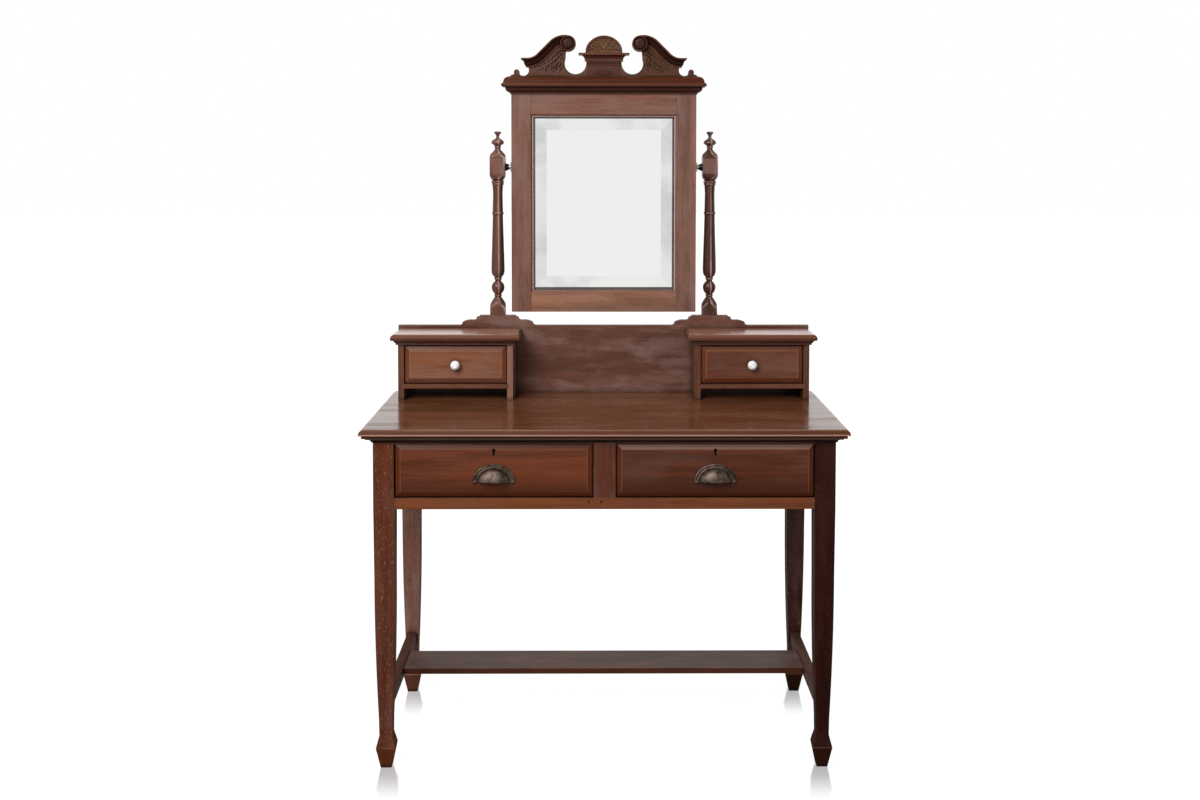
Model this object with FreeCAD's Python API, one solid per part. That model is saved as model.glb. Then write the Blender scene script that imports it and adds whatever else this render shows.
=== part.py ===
# Dressing table: a table on tapered legs with two long drawers, two small drawer boxes on its top,
# and a swing mirror with a broken scroll pediment, hung between turned posts.
# Millimetres. +X to the right, -Y to the front, +Z up.
# The origin is on the floor, under the middle of the whole object's box.

import FreeCAD
import Part

import math
import os

Vec = FreeCAD.Vector

# Clearances and the overrun of cuts
overrun = 5.0
slide_gap = 0.3
bolt_gap = 0.3
pin_gap = 0.08
spigot_gap = 0.2
tiny = 1e-6

# How far the curves of mouldings stand from their chords, as shares of the chord
cove_share = 0.2
shallow_cove_share = 0.12
round_share = -0.2
shallow_round_share = -0.12

# Tabletop
top_width = 1070.0
top_depth = 481.0
table_height = 762.0
top_thickness = 20.0
nosing_width = 9.0
nosing_height = 11.0
nosing_lip = 2.0
nosing_step = 6.0
side_overhang = 28.0
front_overhang = 25.0

# Moulding under the tabletop
bed_height = 11.0
bed_reach = 14.5
bed_fillet = 3.0
bed_foot = 2.5

# Legs with spade feet
leg_size = 45.5
knee_size = 43.2
knee_height = 430.0
ankle_size = 29.5
ankle_height = 110.0
neck_size = 28.5
neck_height = 74.0
foot_size = 42.5
foot_height = 47.0
toe_size = 23.8

# Frieze: rails, stile and aprons
frame_setback = 1.0
top_rail_height = 14.0
opening_height = 120.5
bottom_rail_height = 25.0
rail_depth = 44.0
stile_width = 48.0
stile_depth = 22.0
apron_thickness = 18.0
tenon_length = 20.0
tenon_thickness = 8.0
tenon_shoulder = 7.0

# Runners, guides, kickers and stops for the long drawers
runner_thickness = 20.0
runner_lap = 13.0
guide_height = 22.0
stop_length = 40.0
stop_depth = 12.0
stop_height = 5.0
stop_place_share = 0.5

# Stretchers
stretcher_bottom = 126.0
stretcher_height = 28.0
stretcher_thickness = 22.0
shelf_rise = 11.0
shelf_thickness = 13.5
shelf_width = 109.0
shelf_set_back = 21.0
shelf_housing = 8.0

# Long drawers
long_side_gap = 1.8
long_top_gap = 1.5
long_front_thickness = 20.0
long_side_thickness = 10.0
long_back_thickness = 10.0
long_bottom_thickness = 6.0
long_bottom_rise = 8.0
long_groove = 5.0
long_side_drop = 3.0
long_bevel_width = 12.0
long_bevel_depth = 4.0
long_back_room = 8.0
long_lap = 5.0
long_tail_count = 4

# Small drawers
small_side_gap = 1.0
small_top_gap = 3.0
small_front_thickness = 14.0
small_side_thickness = 8.0
small_back_thickness = 8.0
small_bottom_thickness = 4.0
small_bottom_rise = 5.0
small_groove = 4.0
small_side_drop = 2.0
small_bevel_width = 13.0
small_bevel_depth = 3.5
small_back_room = 0.3
small_lap = 4.0
small_tail_count = 3

# Dovetails, as shares of their pitch
tail_tip_share = 0.74
tail_root_share = 0.52

# Till lock
lock_width = 60.0
lock_height = 34.0
lock_depth = 9.0
lock_plate = 2.0
lock_floor = 3.0
bolt_width = 20.0
bolt_thickness = 5.0
bolt_travel = 6.0
key_drop = 14.0
key_radius = 4.0
key_stem_width = 4.6
key_stem_length = 11.0
talon_radius = 6.0

# Cup pull
pull_rise = 31.0
cup_half_width = 34.0
cup_height = 30.0
cup_reach = 23.0
cup_wall = 2.0
flange_width = 10.0
flange_thickness = 2.6
pull_end_radius = 5.2

# Small drawer boxes
box_width = 280.0
box_side_inset = 33.0
box_depth = 107.0
box_height = 136.0
box_board = 14.3
box_shelf_thickness = 11.0
box_foot_gap = 28.3
box_housing = 4.0
box_top_thickness = 26.0
box_top_reach = 17.0
box_nosing_width = 11.0
box_nosing_height = 10.0
box_top_lip = 2.5
box_cove_height = 6.0
box_cove_reach = 12.0
box_bead_height = 5.0

# White knob
knob_radius = 11.7
knob_length = 21.0
knob_neck_radius = 5.5
knob_spigot_radius = 3.5
knob_waist_share = 0.8
knob_seat_share = 0.75
knob_head_turn = -48
knob_dimple_radius = 4.0
knob_dimple_depth = 0.8

# Backboard
backboard_inset = 18.0
backboard_height = 170.0
backboard_thickness = 17.0
shoulder_rise = 25.0
shoulder_half_width = 96.4
shoulder_flat_half_width = 45.0
shoulder_bead = 8.0

# Turned posts
post_spacing = 534.4
post_size = 38.0
post_block_height = 60.5
post_foot_block = 26.0
finial_height = 59.5
block_shoulder = 9.0
tail_drop = 102.0

# Mirror frame and glass
mirror_gap = 8.0
mirror_side_gap = 16.2
frame_height = 548.0
frame_thickness = 24.0
frame_stile_width = 49.0
frame_top_rail = 51.0
frame_bottom_rail = 50.0
pivot_height = 365.0
bead_width = 7.0
bead_setback = 1.5
bead_round_share = 0.18
glass_thickness = 6.0
glass_edge = 3.0
glass_bevel = 38.0
glass_gap = 0.5
backing_thickness = 5.0
backing_lap = 14.0

# Swing movement
socket_radius = 9.5
socket_length = 8.7
pivot_pin_radius = 4.0
pivot_pin_depth = 7.0
swing_collar_radius = 6.5
swing_plate_height = 24.0
swing_plate_width = 18.0
swing_plate_thickness = 2.5

# Cornice on the mirror frame
cornice_height = 43.5
cornice_reach = 24.0
cornice_fillet_height = 4.0
cornice_fillet_reach = 3.0
cornice_ovolo_top = 13.0
cornice_ovolo_reach = 14.0
cornice_bead_bottom = 17.0
cornice_bead_top = 27.0
cornice_crown_reach = 4.0

# Pediment board: places from the middle and from the cornice's top, and turns in degrees.
# The pediment is drawn for a frame of this half width and fitted to the real one.
pediment_pattern_half = 232.0
pediment_thickness = 18.0
pediment_half_base = 236.0
pediment_base_rise = 5.3
pediment_base_run = 10.0
button_place = 218.5
button_rise = 11.0
button_radius = 7.0
button_turns = (-20, 200)
small_eye_place = 201.5
small_eye_rise = 15.5
small_eye_radius = 13.7
small_eye_start = -50
lobe_end = 192.0
lobe_edge_rise = 45.5
slope_turn = 45
crown_arc_place = 98.5
crown_arc_rise = 50.5
crown_arc_radius = 52.0
crown_turn = 105.5
volute_radius = 19.5
volute_end = 285
big_eye_place = 71.3
big_eye_rise = 33.0
big_eye_radius = 27.0
big_eye_turns = (20, -192)
plinth_half_width = 43.5
plinth_height = 38.5

# Scroll moulding on the pediment
scroll_depth = 23.0
scroll_reach = 15.0
scroll_fillet = 3.5
scroll_foot = 3.0
rosette_reach = 17.0

# Cap of the middle plinth and the flattened half-round lunette on it
cap_height = 19.5
cap_half_width = 63.5
cap_reach = 18.0
cap_fillet = 5.0
cap_lip = 7.0
cap_foot = 3.0
lunette_half_width = 46.0
lunette_height = 43.8
lunette_stilt = 3.8
lunette_shoulder = 35.0
lunette_thickness = 16.0
lunette_set_back = 2.0
lunette_rim = 5.0
lunette_recess = 3.0

# Screws through the post tails
screw_length = 34.0
screw_radius = 2.4
screw_head_radius = 4.6
screw_head_height = 3.0
screw_height_share = 0.5

# Planes worked out from the sizes
post_proud = post_size - backboard_thickness
front_tip = -(top_depth + post_proud) / 2
table_back = front_tip + top_depth
leg_front = front_tip + front_overhang
leg_out = top_width / 2 - side_overhang
leg_in = leg_out - leg_size
rear_leg_front = table_back - leg_size
front_leg_back = leg_front + leg_size
rail_front = leg_front + frame_setback
rail_back = rail_front + rail_depth
top_under = table_height - top_thickness
opening_top = top_under - top_rail_height
opening_bottom = opening_top - opening_height
frieze_bottom = opening_bottom - bottom_rail_height
apron_out = leg_out - frame_setback
apron_in = apron_out - apron_thickness
rear_apron_back = table_back - frame_setback
rear_apron_front = rear_apron_back - apron_thickness
stile_half = stile_width / 2
long_centre = (leg_in + stile_half) / 2
leg_middle = (leg_in + leg_out) / 2
board_front = table_back - backboard_thickness
post_x = post_spacing / 2
post_y = board_front + post_size / 2
box_front = board_front - box_depth
box_out = top_width / 2 - box_side_inset
box_inner_face = box_out - box_width
box_centre = box_out - box_width / 2
box_top_under = table_height + box_height
box_shelf_under = table_height + box_foot_gap
box_opening_bottom = box_shelf_under + box_shelf_thickness
board_top = table_height + backboard_height
shoulder_top = board_top + shoulder_rise
frame_half = post_x - post_size / 2 - mirror_side_gap
frame_front = post_y - frame_thickness / 2
frame_back = post_y + frame_thickness / 2
frame_bottom = shoulder_top + mirror_gap
frame_top = frame_bottom + frame_height
pivot_z = frame_bottom + pivot_height
post_block_bottom = pivot_z - post_block_height / 2
tail_bottom = top_under - tail_drop
sight_half = frame_half - frame_stile_width
sight_bottom = frame_bottom + frame_bottom_rail
sight_top = frame_top - frame_top_rail
glass_front = frame_back - glass_thickness
cornice_top = frame_top + cornice_height
slope_sum = crown_arc_place + crown_arc_rise + crown_arc_radius * math.sqrt(2)
foot_arc_radius = (lobe_end + lobe_edge_rise - slope_sum) / (math.sqrt(2) - 1)
foot_arc_rise = lobe_edge_rise + foot_arc_radius
volute_place = crown_arc_place + (crown_arc_radius - volute_radius) * math.cos(math.radians(crown_turn))
volute_rise = crown_arc_rise + (crown_arc_radius - volute_radius) * math.sin(math.radians(crown_turn))
small_eye_end = math.degrees(math.acos((lobe_end - small_eye_place) / small_eye_radius)) - 360
pediment_fit = frame_half / pediment_pattern_half
pediment_back = frame_front + pediment_thickness


def box(x0, x1, y0, y1, z0, z1):
    """A straight block between three pairs of planes."""
    return Part.makeBox(x1 - x0, y1 - y0, z1 - z0, Vec(x0, y0, z0))


def mirrored(shape):
    """The same piece on the other side of the middle."""
    return shape.mirror(Vec(), Vec(1, 0, 0))


def pair(shape):
    """A piece and its mirror image."""
    return [shape, mirrored(shape)]


def joined(shapes):
    """One clean solid out of overlapping or touching ones."""
    first, rest = shapes[0], list(shapes[1:])
    return first.fuse(rest).removeSplitter() if rest else first


def save(node, *shapes):
    """Write one node. Several shapes stay separate solids."""
    solids = [solid for shape in shapes for solid in shape.Solids]
    body = solids[0] if len(solids) == 1 else Part.makeCompound(solids)
    body.exportStep(f"parts/{node}.step")
    print(f"{node}: {len(solids)} solid(s), {sum(s.Volume for s in solids):.0f} mm3")


def walk(parts):
    """Turn an outline's parts into (points) lists: lines have 2 points and arcs 3.

    A part is a corner (a, b), an arc that ends at a corner (a, b, sag), where sag is its
    height to the left as a share of its chord, or a bend (a, b, radius, start, end) in degrees.
    """
    runs = []
    at = None
    for part in parts:
        if len(part) == 5:
            a, b, radius, start, end = part
            angles = [math.radians(turn) for turn in (start, (start + end) / 2, end)]
            arc = [(a + radius * math.cos(t), b + radius * math.sin(t)) for t in angles]
            if at and math.dist(at, arc[0]) > tiny:
                runs.append([at, arc[0]])
            runs.append(arc)
            at = arc[-1]
            continue
        end = part[:2]
        if at and len(part) == 3:
            across, along = end[0] - at[0], end[1] - at[1]
            middle = ((at[0] + end[0]) / 2 - part[2] * along, (at[1] + end[1]) / 2 + part[2] * across)
            runs.append([at, middle, end])
        elif at and math.dist(at, end) > tiny:
            runs.append([at, end])
        at = end
    if math.dist(at, runs[0][0]) > tiny:
        runs.append([at, runs[0][0]])
    return runs


def face(parts, place):
    """A flat face inside an outline. place turns a pair of numbers into a point."""
    edges = []
    for run in walk(parts):
        points = [place(a, b) for a, b in run]
        edges.append(Part.Arc(*points).toShape() if len(points) == 3 else Part.makeLine(*points))
    return Part.Face(Part.Wire(edges))


def in_xz(y):
    """Outline numbers are X and Z on the plane at y."""
    return lambda a, b: Vec(a, y, b)


def in_yz(x):
    """Outline numbers are Y and Z on the plane at x."""
    return lambda a, b: Vec(x, a, b)


def in_xy(z):
    """Outline numbers are X and Y on the plane at z."""
    return lambda a, b: Vec(a, b, z)


def moulded(profile, half_width, front, back, base):
    """A plate moulded alike along its front and both ends, with a plain back.

    The profile runs from the plate's underside to its upper side. Its first number is measured
    outwards from the tip, so it is zero or less, and its second is the height above base.
    """
    low, high = profile[0][1], profile[-1][1]
    ends = [(-half_width, low)] + profile + [(-half_width, high)]
    along = face(ends, lambda a, b: Vec(half_width + a, front, base + b))
    side = along.extrude(Vec(0, back - front, 0))
    depth = back - front
    fronts = [(-depth, low)] + profile + [(-depth, high)]
    across = face(fronts, lambda a, b: Vec(-half_width, front - a, base + b))
    length = across.extrude(Vec(2 * half_width, 0, 0))
    return joined(pair(side)).common(length).removeSplitter()


def nosing(width, height, tip_height):
    """The rounded upper edge of a top: upright at the tip and nearly level at the flat."""
    radius = (width ** 2 + height ** 2) / (2 * width)
    return (-radius, tip_height, radius, 0, math.degrees(math.asin(height / radius)))


def turned(shares, radius, base, height):
    """A turned piece about the Z axis, from shares of its radius and height.

    Its top is flat where the last share is 1, and otherwise a dome up to the full height.
    """
    parts = [(part[0] * radius, part[1] * height) + part[2:] for part in shares]
    edge, rise = parts[-1][0], height - parts[-1][1]
    if rise > 0:
        dome = (edge ** 2 + rise ** 2) / (2 * rise)
        parts.append((0, height - dome, dome, math.degrees(math.asin(1 - rise / dome)), 90))
    else:
        parts.append((0, height))
    section = face(parts, lambda a, b: Vec(a, 0, base + b))
    return section.revolve(Vec(), Vec(0, 0, 1), 360)


# Legs

def leg_outline():
    """Half of a leg's outline: straight, tapered in a slight curve, then the spade foot."""
    fall = knee_height - ankle_height
    hollow = (knee_size - ankle_size) / 2
    radius = (fall ** 2 + hollow ** 2) / (2 * hollow)
    turn = math.degrees(math.asin(fall / radius))
    return [(0, 0), (toe_size / 2, 0), (foot_size / 2, foot_height), (neck_size / 2, neck_height),
            (ankle_size / 2, ankle_height), (knee_size / 2 - radius, knee_height, radius, -turn, 0),
            (leg_size / 2, frieze_bottom), (leg_size / 2, top_under), (0, top_under)]


def make_leg():
    """A square leg: the same outline seen from the front and from the side."""
    half = leg_size / 2
    from_front = face(leg_outline(), in_xz(-half)).extrude(Vec(0, leg_size, 0))
    from_side = face(leg_outline(), in_yz(-half)).extrude(Vec(leg_size, 0, 0))
    other_half = from_side.mirror(Vec(), Vec(0, 1, 0))
    return joined(pair(from_front)).common(joined([from_side, other_half])).removeSplitter()


def tenon_x(x0, x1, middle_y, z0, z1):
    """A flat tenon that runs along X, shouldered above and below."""
    half = tenon_thickness / 2
    return box(x0, x1, middle_y - half, middle_y + half, z0 + tenon_shoulder, z1 - tenon_shoulder)


def tenon_y(middle_x, y0, y1, z0, z1):
    """A flat tenon that runs along Y, shouldered above and below."""
    half = tenon_thickness / 2
    return box(middle_x - half, middle_x + half, y0, y1, z0 + tenon_shoulder, z1 - tenon_shoulder)


def make_table_frame(screws):
    """Legs, rails, aprons and stretchers, with their tenons cut into the legs."""
    rail_middle = rail_front + rail_depth / 2
    reach = leg_in + tenon_length
    bottom_rail = box(-leg_in, leg_in, rail_front, rail_back, frieze_bottom, opening_bottom)
    rail_tenon = tenon_x(-reach, reach, rail_middle, frieze_bottom, opening_bottom)
    bottom_rail = joined([bottom_rail, rail_tenon])
    top_rail = box(-leg_in, leg_in, rail_front, rail_back, opening_top, top_under)
    socket = box(-reach, reach, rail_middle - tenon_thickness, rail_middle + tenon_thickness,
                 opening_top + top_rail_height / 2, top_under)
    top_rail = joined([top_rail, socket])

    stile_back = rail_front + stile_depth
    stile = box(-stile_half, stile_half, rail_front, stile_back, opening_bottom, opening_top)
    stub = box(-stile_half + tenon_shoulder, stile_half - tenon_shoulder,
               rail_front + tenon_shoulder, stile_back - tenon_shoulder,
               opening_bottom - bottom_rail_height / 2, opening_top + top_rail_height / 2)
    stile = joined([stile, stub])
    bottom_rail = bottom_rail.cut(stile)
    top_rail = top_rail.cut(stile)

    apron_middle = (apron_in + apron_out) / 2
    side_apron = joined([
        box(apron_in, apron_out, front_leg_back, rear_leg_front, frieze_bottom, top_under),
        tenon_y(apron_middle, front_leg_back - tenon_length, rear_leg_front + tenon_length,
                frieze_bottom, top_under)])
    rear_middle = (rear_apron_front + rear_apron_back) / 2
    rear_reach = leg_in + tenon_length / 2
    rear_apron = joined([
        box(-leg_in, leg_in, rear_apron_front, rear_apron_back, frieze_bottom, top_under),
        tenon_x(-rear_reach, rear_reach, rear_middle, frieze_bottom, top_under)])

    for screw in screws:
        rear_apron = rear_apron.cut(screw).cut(mirrored(screw))

    half = stretcher_thickness / 2
    stretcher_top = stretcher_bottom + stretcher_height
    stretcher = box(leg_middle - half, leg_middle + half, front_leg_back - leg_size / 2,
                    rear_leg_front + leg_size / 2, stretcher_bottom, stretcher_top)
    shelf_middle = (leg_front + table_back) / 2 + shelf_set_back
    shelf_low = stretcher_bottom + shelf_rise
    shelf_reach = leg_middle - half + shelf_housing
    shelf = box(-shelf_reach, shelf_reach, shelf_middle - shelf_width / 2, shelf_middle + shelf_width / 2,
                shelf_low, shelf_low + shelf_thickness)

    # A stretcher butts against the tapered legs and has a round-cornered tenon in each.
    legs = {}
    blank = make_leg()
    places = {"front": leg_front + leg_size / 2, "rear": table_back - leg_size / 2}
    tenon_half = tenon_thickness / 2
    stretcher_tenon = box(leg_middle - tenon_half, leg_middle + tenon_half, places["front"], places["rear"],
                          stretcher_bottom + tenon_shoulder, stretcher_top - tenon_shoulder)
    for end, y in places.items():
        leg = blank.copy()
        leg.translate(Vec(leg_middle, y, 0))
        stretcher = stretcher.cut(leg)
        cutters = [bottom_rail, top_rail, side_apron] if end == "front" else [rear_apron, side_apron]
        for cutter in cutters + [stretcher_tenon]:
            leg = leg.cut(cutter)
        legs[end] = leg
    stretcher = max(stretcher.Solids, key=lambda solid: solid.Volume)
    stretcher = joined([stretcher, stretcher_tenon]).cut(shelf)

    for end, leg in legs.items():
        save(f"{end}_right_leg", leg)
        save(f"{end}_left_leg", mirrored(leg))
    save("bottom_rail", bottom_rail)
    save("centre_stile", stile)
    save("side_aprons", *pair(side_apron))
    save("rear_apron", rear_apron)
    save("side_stretchers", *pair(stretcher))
    save("stretcher_shelf", shelf)
    return top_rail


def make_tabletop():
    """The top with its nosed edge, and the mitred moulding under it."""
    profile = [(-nosing_step, 0), (-nosing_step, top_thickness - nosing_height - nosing_lip),
               (0, top_thickness - nosing_height - nosing_lip),
               nosing(nosing_width, nosing_height, top_thickness - nosing_height),
               (-nosing_width, top_thickness)]
    save("tabletop", moulded(profile, top_width / 2, front_tip, table_back, top_under))

    reach = bed_reach - bed_foot
    low, fillet = -bed_height, -bed_fillet
    bed = [(-reach, low), (0, fillet, cove_share), (0, 0)]
    bed_half = leg_out + bed_reach
    bed_front = leg_front - bed_reach
    ring = moulded(bed, bed_half, bed_front, table_back, top_under)
    ring = ring.cut(box(-leg_out, leg_out, leg_front, table_back + overrun, top_under - bed_height - overrun,
                        table_height))
    corner = 2 * bed_reach
    wedge = face([(-bed_half, bed_front), (bed_half, bed_front), (bed_half - corner, bed_front + corner),
                  (-bed_half + corner, bed_front + corner)], in_xy(top_under - bed_height - overrun))
    wedge = wedge.extrude(Vec(0, 0, bed_height + 2 * overrun))
    save("bed_moulding", ring.common(wedge), ring.cut(wedge))


def make_runners():
    """What carries the long drawers, keeps them straight, stops them tipping and stops them."""
    top = opening_bottom
    low = top - runner_thickness
    inner = leg_in - runner_lap
    runner = joined([
        box(inner, leg_in, rail_back, rear_apron_front, low, top),
        box(leg_in, apron_in, front_leg_back, rear_leg_front, low, top + guide_height)])
    middle_half = stile_half + runner_lap
    middle = joined([
        box(-middle_half, middle_half, rail_back, rear_apron_front, low, top),
        box(-stile_half, stile_half, rail_front + stile_depth, rear_apron_front, top, top + guide_height)])
    save("drawer_runners", *pair(runner), middle)
    kicker = box(inner, leg_in, rail_back, rear_apron_front, opening_top, top_under)
    middle_kicker = box(-middle_half, middle_half, rail_back, rear_apron_front, opening_top, top_under)
    save("drawer_kickers", *pair(kicker), middle_kicker)
    stops = []
    front_back = rail_front + long_front_thickness + slide_gap
    for place in (long_centre * (1 - stop_place_share), long_centre * (1 + stop_place_share)):
        stop = box(place - stop_length / 2, place + stop_length / 2, front_back, front_back + stop_depth,
                   top, top + stop_height)
        stops += pair(stop)
    save("drawer_stops", *stops)


# Drawers

def tails(x0, x1, root, tip, low, high, count):
    """A row of dovetails from root to tip along Y, as thick as the side, spread from low to high."""
    pitch = (high - low) / count
    shapes = []
    for index in range(count):
        middle = low + (index + 0.5) * pitch
        wide, narrow = tail_tip_share * pitch / 2, tail_root_share * pitch / 2
        outline = [(root, middle - narrow), (tip, middle - wide), (tip, middle + wide),
                   (root, middle + narrow)]
        shapes.append(face(outline, in_yz(x0)).extrude(Vec(x1 - x0, 0, 0)))
    return shapes


def bevelled_front(x0, x1, front, back, z0, z1, width, depth):
    """A drawer front with a bevel worked round its face."""
    plan = face([(x0, back), (x0, front + depth), (x0 + width, front), (x1 - width, front),
                 (x1, front + depth), (x1, back)], in_xy(z0)).extrude(Vec(0, 0, z1 - z0))
    upright = face([(back, z0), (front + depth, z0), (front, z0 + width), (front, z1 - width),
                    (front + depth, z1), (back, z1)], in_yz(x0)).extrude(Vec(x1 - x0, 0, 0))
    return plan.common(upright).removeSplitter()


def make_drawer(centre, opening, bottom, height, front, back, gaps, boards, bevel, joint):
    """A drawer's front, box and bottom, built round its centre line.

    opening is the opening's width, gaps is (side, top), boards is (front, side, back, bottom
    thickness, bottom's rise, groove, side's drop), bevel is (width, depth) and joint is
    (lap, number of tails).
    """
    side_gap, top_gap = gaps
    front_t, side_t, back_t, bottom_t, rise, groove, drop = boards
    lap, count = joint
    x0, x1 = centre - opening / 2 + side_gap, centre + opening / 2 - side_gap
    z0, z1 = bottom + slide_gap, bottom + height - top_gap
    side_top = z1 - drop
    inner_front = front + front_t
    panel_low = z0 + rise
    panel_top = panel_low + bottom_t

    panel = box(x0 + side_t - groove, x1 - side_t + groove, inner_front - groove, back, panel_low, panel_top)
    board = box(x0, x0 + side_t, inner_front, back - back_t, z0, side_top)
    front_tails = tails(x0, x0 + side_t, inner_front, front + lap, z0, side_top, count)
    back_tails = tails(x0, x0 + side_t, back - back_t, back, z0, side_top, count)
    side = joined([board] + front_tails + back_tails).cut(panel)
    other = side.mirror(Vec(centre, 0, 0), Vec(1, 0, 0))

    face_board = bevelled_front(x0, x1, front, inner_front, z0 + side_gap - slide_gap, z1, *bevel)
    face_board = face_board.cut(panel).cut(side).cut(other)
    rear = box(x0, x1, back - back_t, back, panel_top, side_top).cut(side).cut(other)
    return face_board, [side, other, rear], panel


def make_lock(centre, front_top, inner_front):
    """A till lock let into the back of a drawer front, its bolt, and the keyhole through both."""
    half = lock_width / 2
    case_front = inner_front - lock_depth
    case = box(centre - half, centre + half, case_front, inner_front, front_top - lock_height, front_top)
    pocket = case.copy()
    bolt_half = bolt_width / 2
    bolt_front = case_front + lock_plate
    floor = front_top - lock_height + lock_floor
    chamber = box(centre - bolt_half - bolt_gap, centre + bolt_half + bolt_gap, bolt_front - bolt_gap,
                  bolt_front + bolt_thickness + bolt_gap, floor, front_top + overrun)
    key_z = front_top - key_drop
    key_start = rail_front - overrun
    round_hole = Part.makeCylinder(key_radius, bolt_front - key_start, Vec(centre, key_start, key_z),
                                   Vec(0, 1, 0))
    stem = box(centre - key_stem_width / 2, centre + key_stem_width / 2, key_start, bolt_front,
               key_z - key_stem_length, key_z)
    keyhole = joined([round_hole, stem])
    bolt = box(centre - bolt_half, centre + bolt_half, bolt_front, bolt_front + bolt_thickness,
               floor + bolt_gap, front_top)
    talon = Part.makeCylinder(talon_radius, bolt_thickness + 2 * overrun,
                              Vec(centre, bolt_front - overrun, key_z), Vec(0, 1, 0))
    return case.cut(chamber).cut(keyhole), bolt.cut(talon), pocket, keyhole


def make_pull(centre, front, base):
    """A half-round cup pull: a domed cup, open below, on a half-round flange with button ends."""
    # The cup is part of a ball whose middle lies behind the drawer front.
    rise = (cup_height ** 2 - cup_half_width ** 2) / (2 * cup_height)
    depth = (cup_half_width ** 2 - cup_reach ** 2) / (2 * cup_reach)
    radius = math.sqrt(cup_half_width ** 2 + depth ** 2 + rise ** 2)
    hub = Vec(0, depth, rise)
    cup = Part.makeSphere(radius, hub)
    cup = cup.common(box(-radius, radius, depth - radius, 0, 0, rise + radius))
    rim_half, rim_height = cup_half_width + flange_width, cup_height + flange_width
    rim = (rim_half ** 2 + rim_height ** 2) / (2 * rim_height)
    lift = math.degrees(math.asin((rim_height - rim) / rim))
    flange = face([(0, rim_height - rim, rim, -lift, 180 + lift)], in_xz(0))
    flange = flange.extrude(Vec(0, -flange_thickness, 0))
    ends = []
    place = cup_half_width + flange_width - pull_end_radius / 2
    for side in (-place, place):
        ball = Part.makeSphere(pull_end_radius, Vec(side, 0, pull_end_radius))
        ends.append(ball.cut(box(-place - pull_end_radius, place + pull_end_radius, 0, pull_end_radius,
                                 0, 2 * pull_end_radius)))
    pull = joined([cup, flange] + ends).cut(Part.makeSphere(radius - cup_wall, hub))
    pull.translate(Vec(centre, front, base))
    return pull


def make_long_drawers():
    """Two long drawers with locks and cup pulls. Returns the locked bolts' room in the top rail."""
    opening = leg_in - stile_half
    boards = (long_front_thickness, long_side_thickness, long_back_thickness, long_bottom_thickness,
              long_bottom_rise, long_groove, long_side_drop)
    back = rear_apron_front - long_back_room
    front_top = opening_top - long_top_gap
    inner_front = rail_front + long_front_thickness
    board, sides, panel = make_drawer(
        long_centre, opening, opening_bottom, opening_height, rail_front, back,
        (long_side_gap, long_top_gap), boards, (long_bevel_width, long_bevel_depth),
        (long_lap, long_tail_count))
    case, bolt, pocket, keyhole = make_lock(long_centre, front_top, inner_front)
    board = board.cut(pocket).cut(keyhole)
    pull = make_pull(long_centre, rail_front, opening_bottom + pull_rise)
    pieces = {"front": [board], "box": sides, "bottom": [panel], "lock_case": [case], "lock_bolt": [bolt],
              "cup_pull": [pull]}
    for name, shapes in pieces.items():
        save(f"right_drawer_{name}", *shapes)
        save(f"left_drawer_{name}", *[mirrored(shape) for shape in shapes])
    corners = bolt.BoundBox
    return box(corners.XMin - bolt_gap, corners.XMax + bolt_gap, corners.YMin - bolt_gap,
               corners.YMax + bolt_gap, opening_top - overrun, front_top + bolt_travel + bolt_gap)


def make_knob(centre, front, middle):
    """A white knob: spigot, neck and a rounded head with a dimple, turned about a level axis."""
    reach = knob_length - knob_radius
    spigot = small_front_thickness
    head_edge = math.sqrt(knob_radius ** 2 - knob_dimple_radius ** 2)
    section = [(0, -spigot), (knob_spigot_radius, -spigot), (knob_spigot_radius, 0), (knob_neck_radius, 0),
               (knob_neck_radius * knob_waist_share, reach - knob_radius * knob_seat_share),
               (0, reach, knob_radius, knob_head_turn,
                math.degrees(math.acos(knob_dimple_radius / knob_radius))),
               (knob_dimple_radius, reach + head_edge - knob_dimple_depth),
               (0, reach + head_edge - knob_dimple_depth)]
    knob = face(section, lambda a, b: Vec(a, -b, 0)).revolve(Vec(), Vec(0, 1, 0), 360)
    knob.translate(Vec(centre, front, middle))
    return knob


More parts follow.
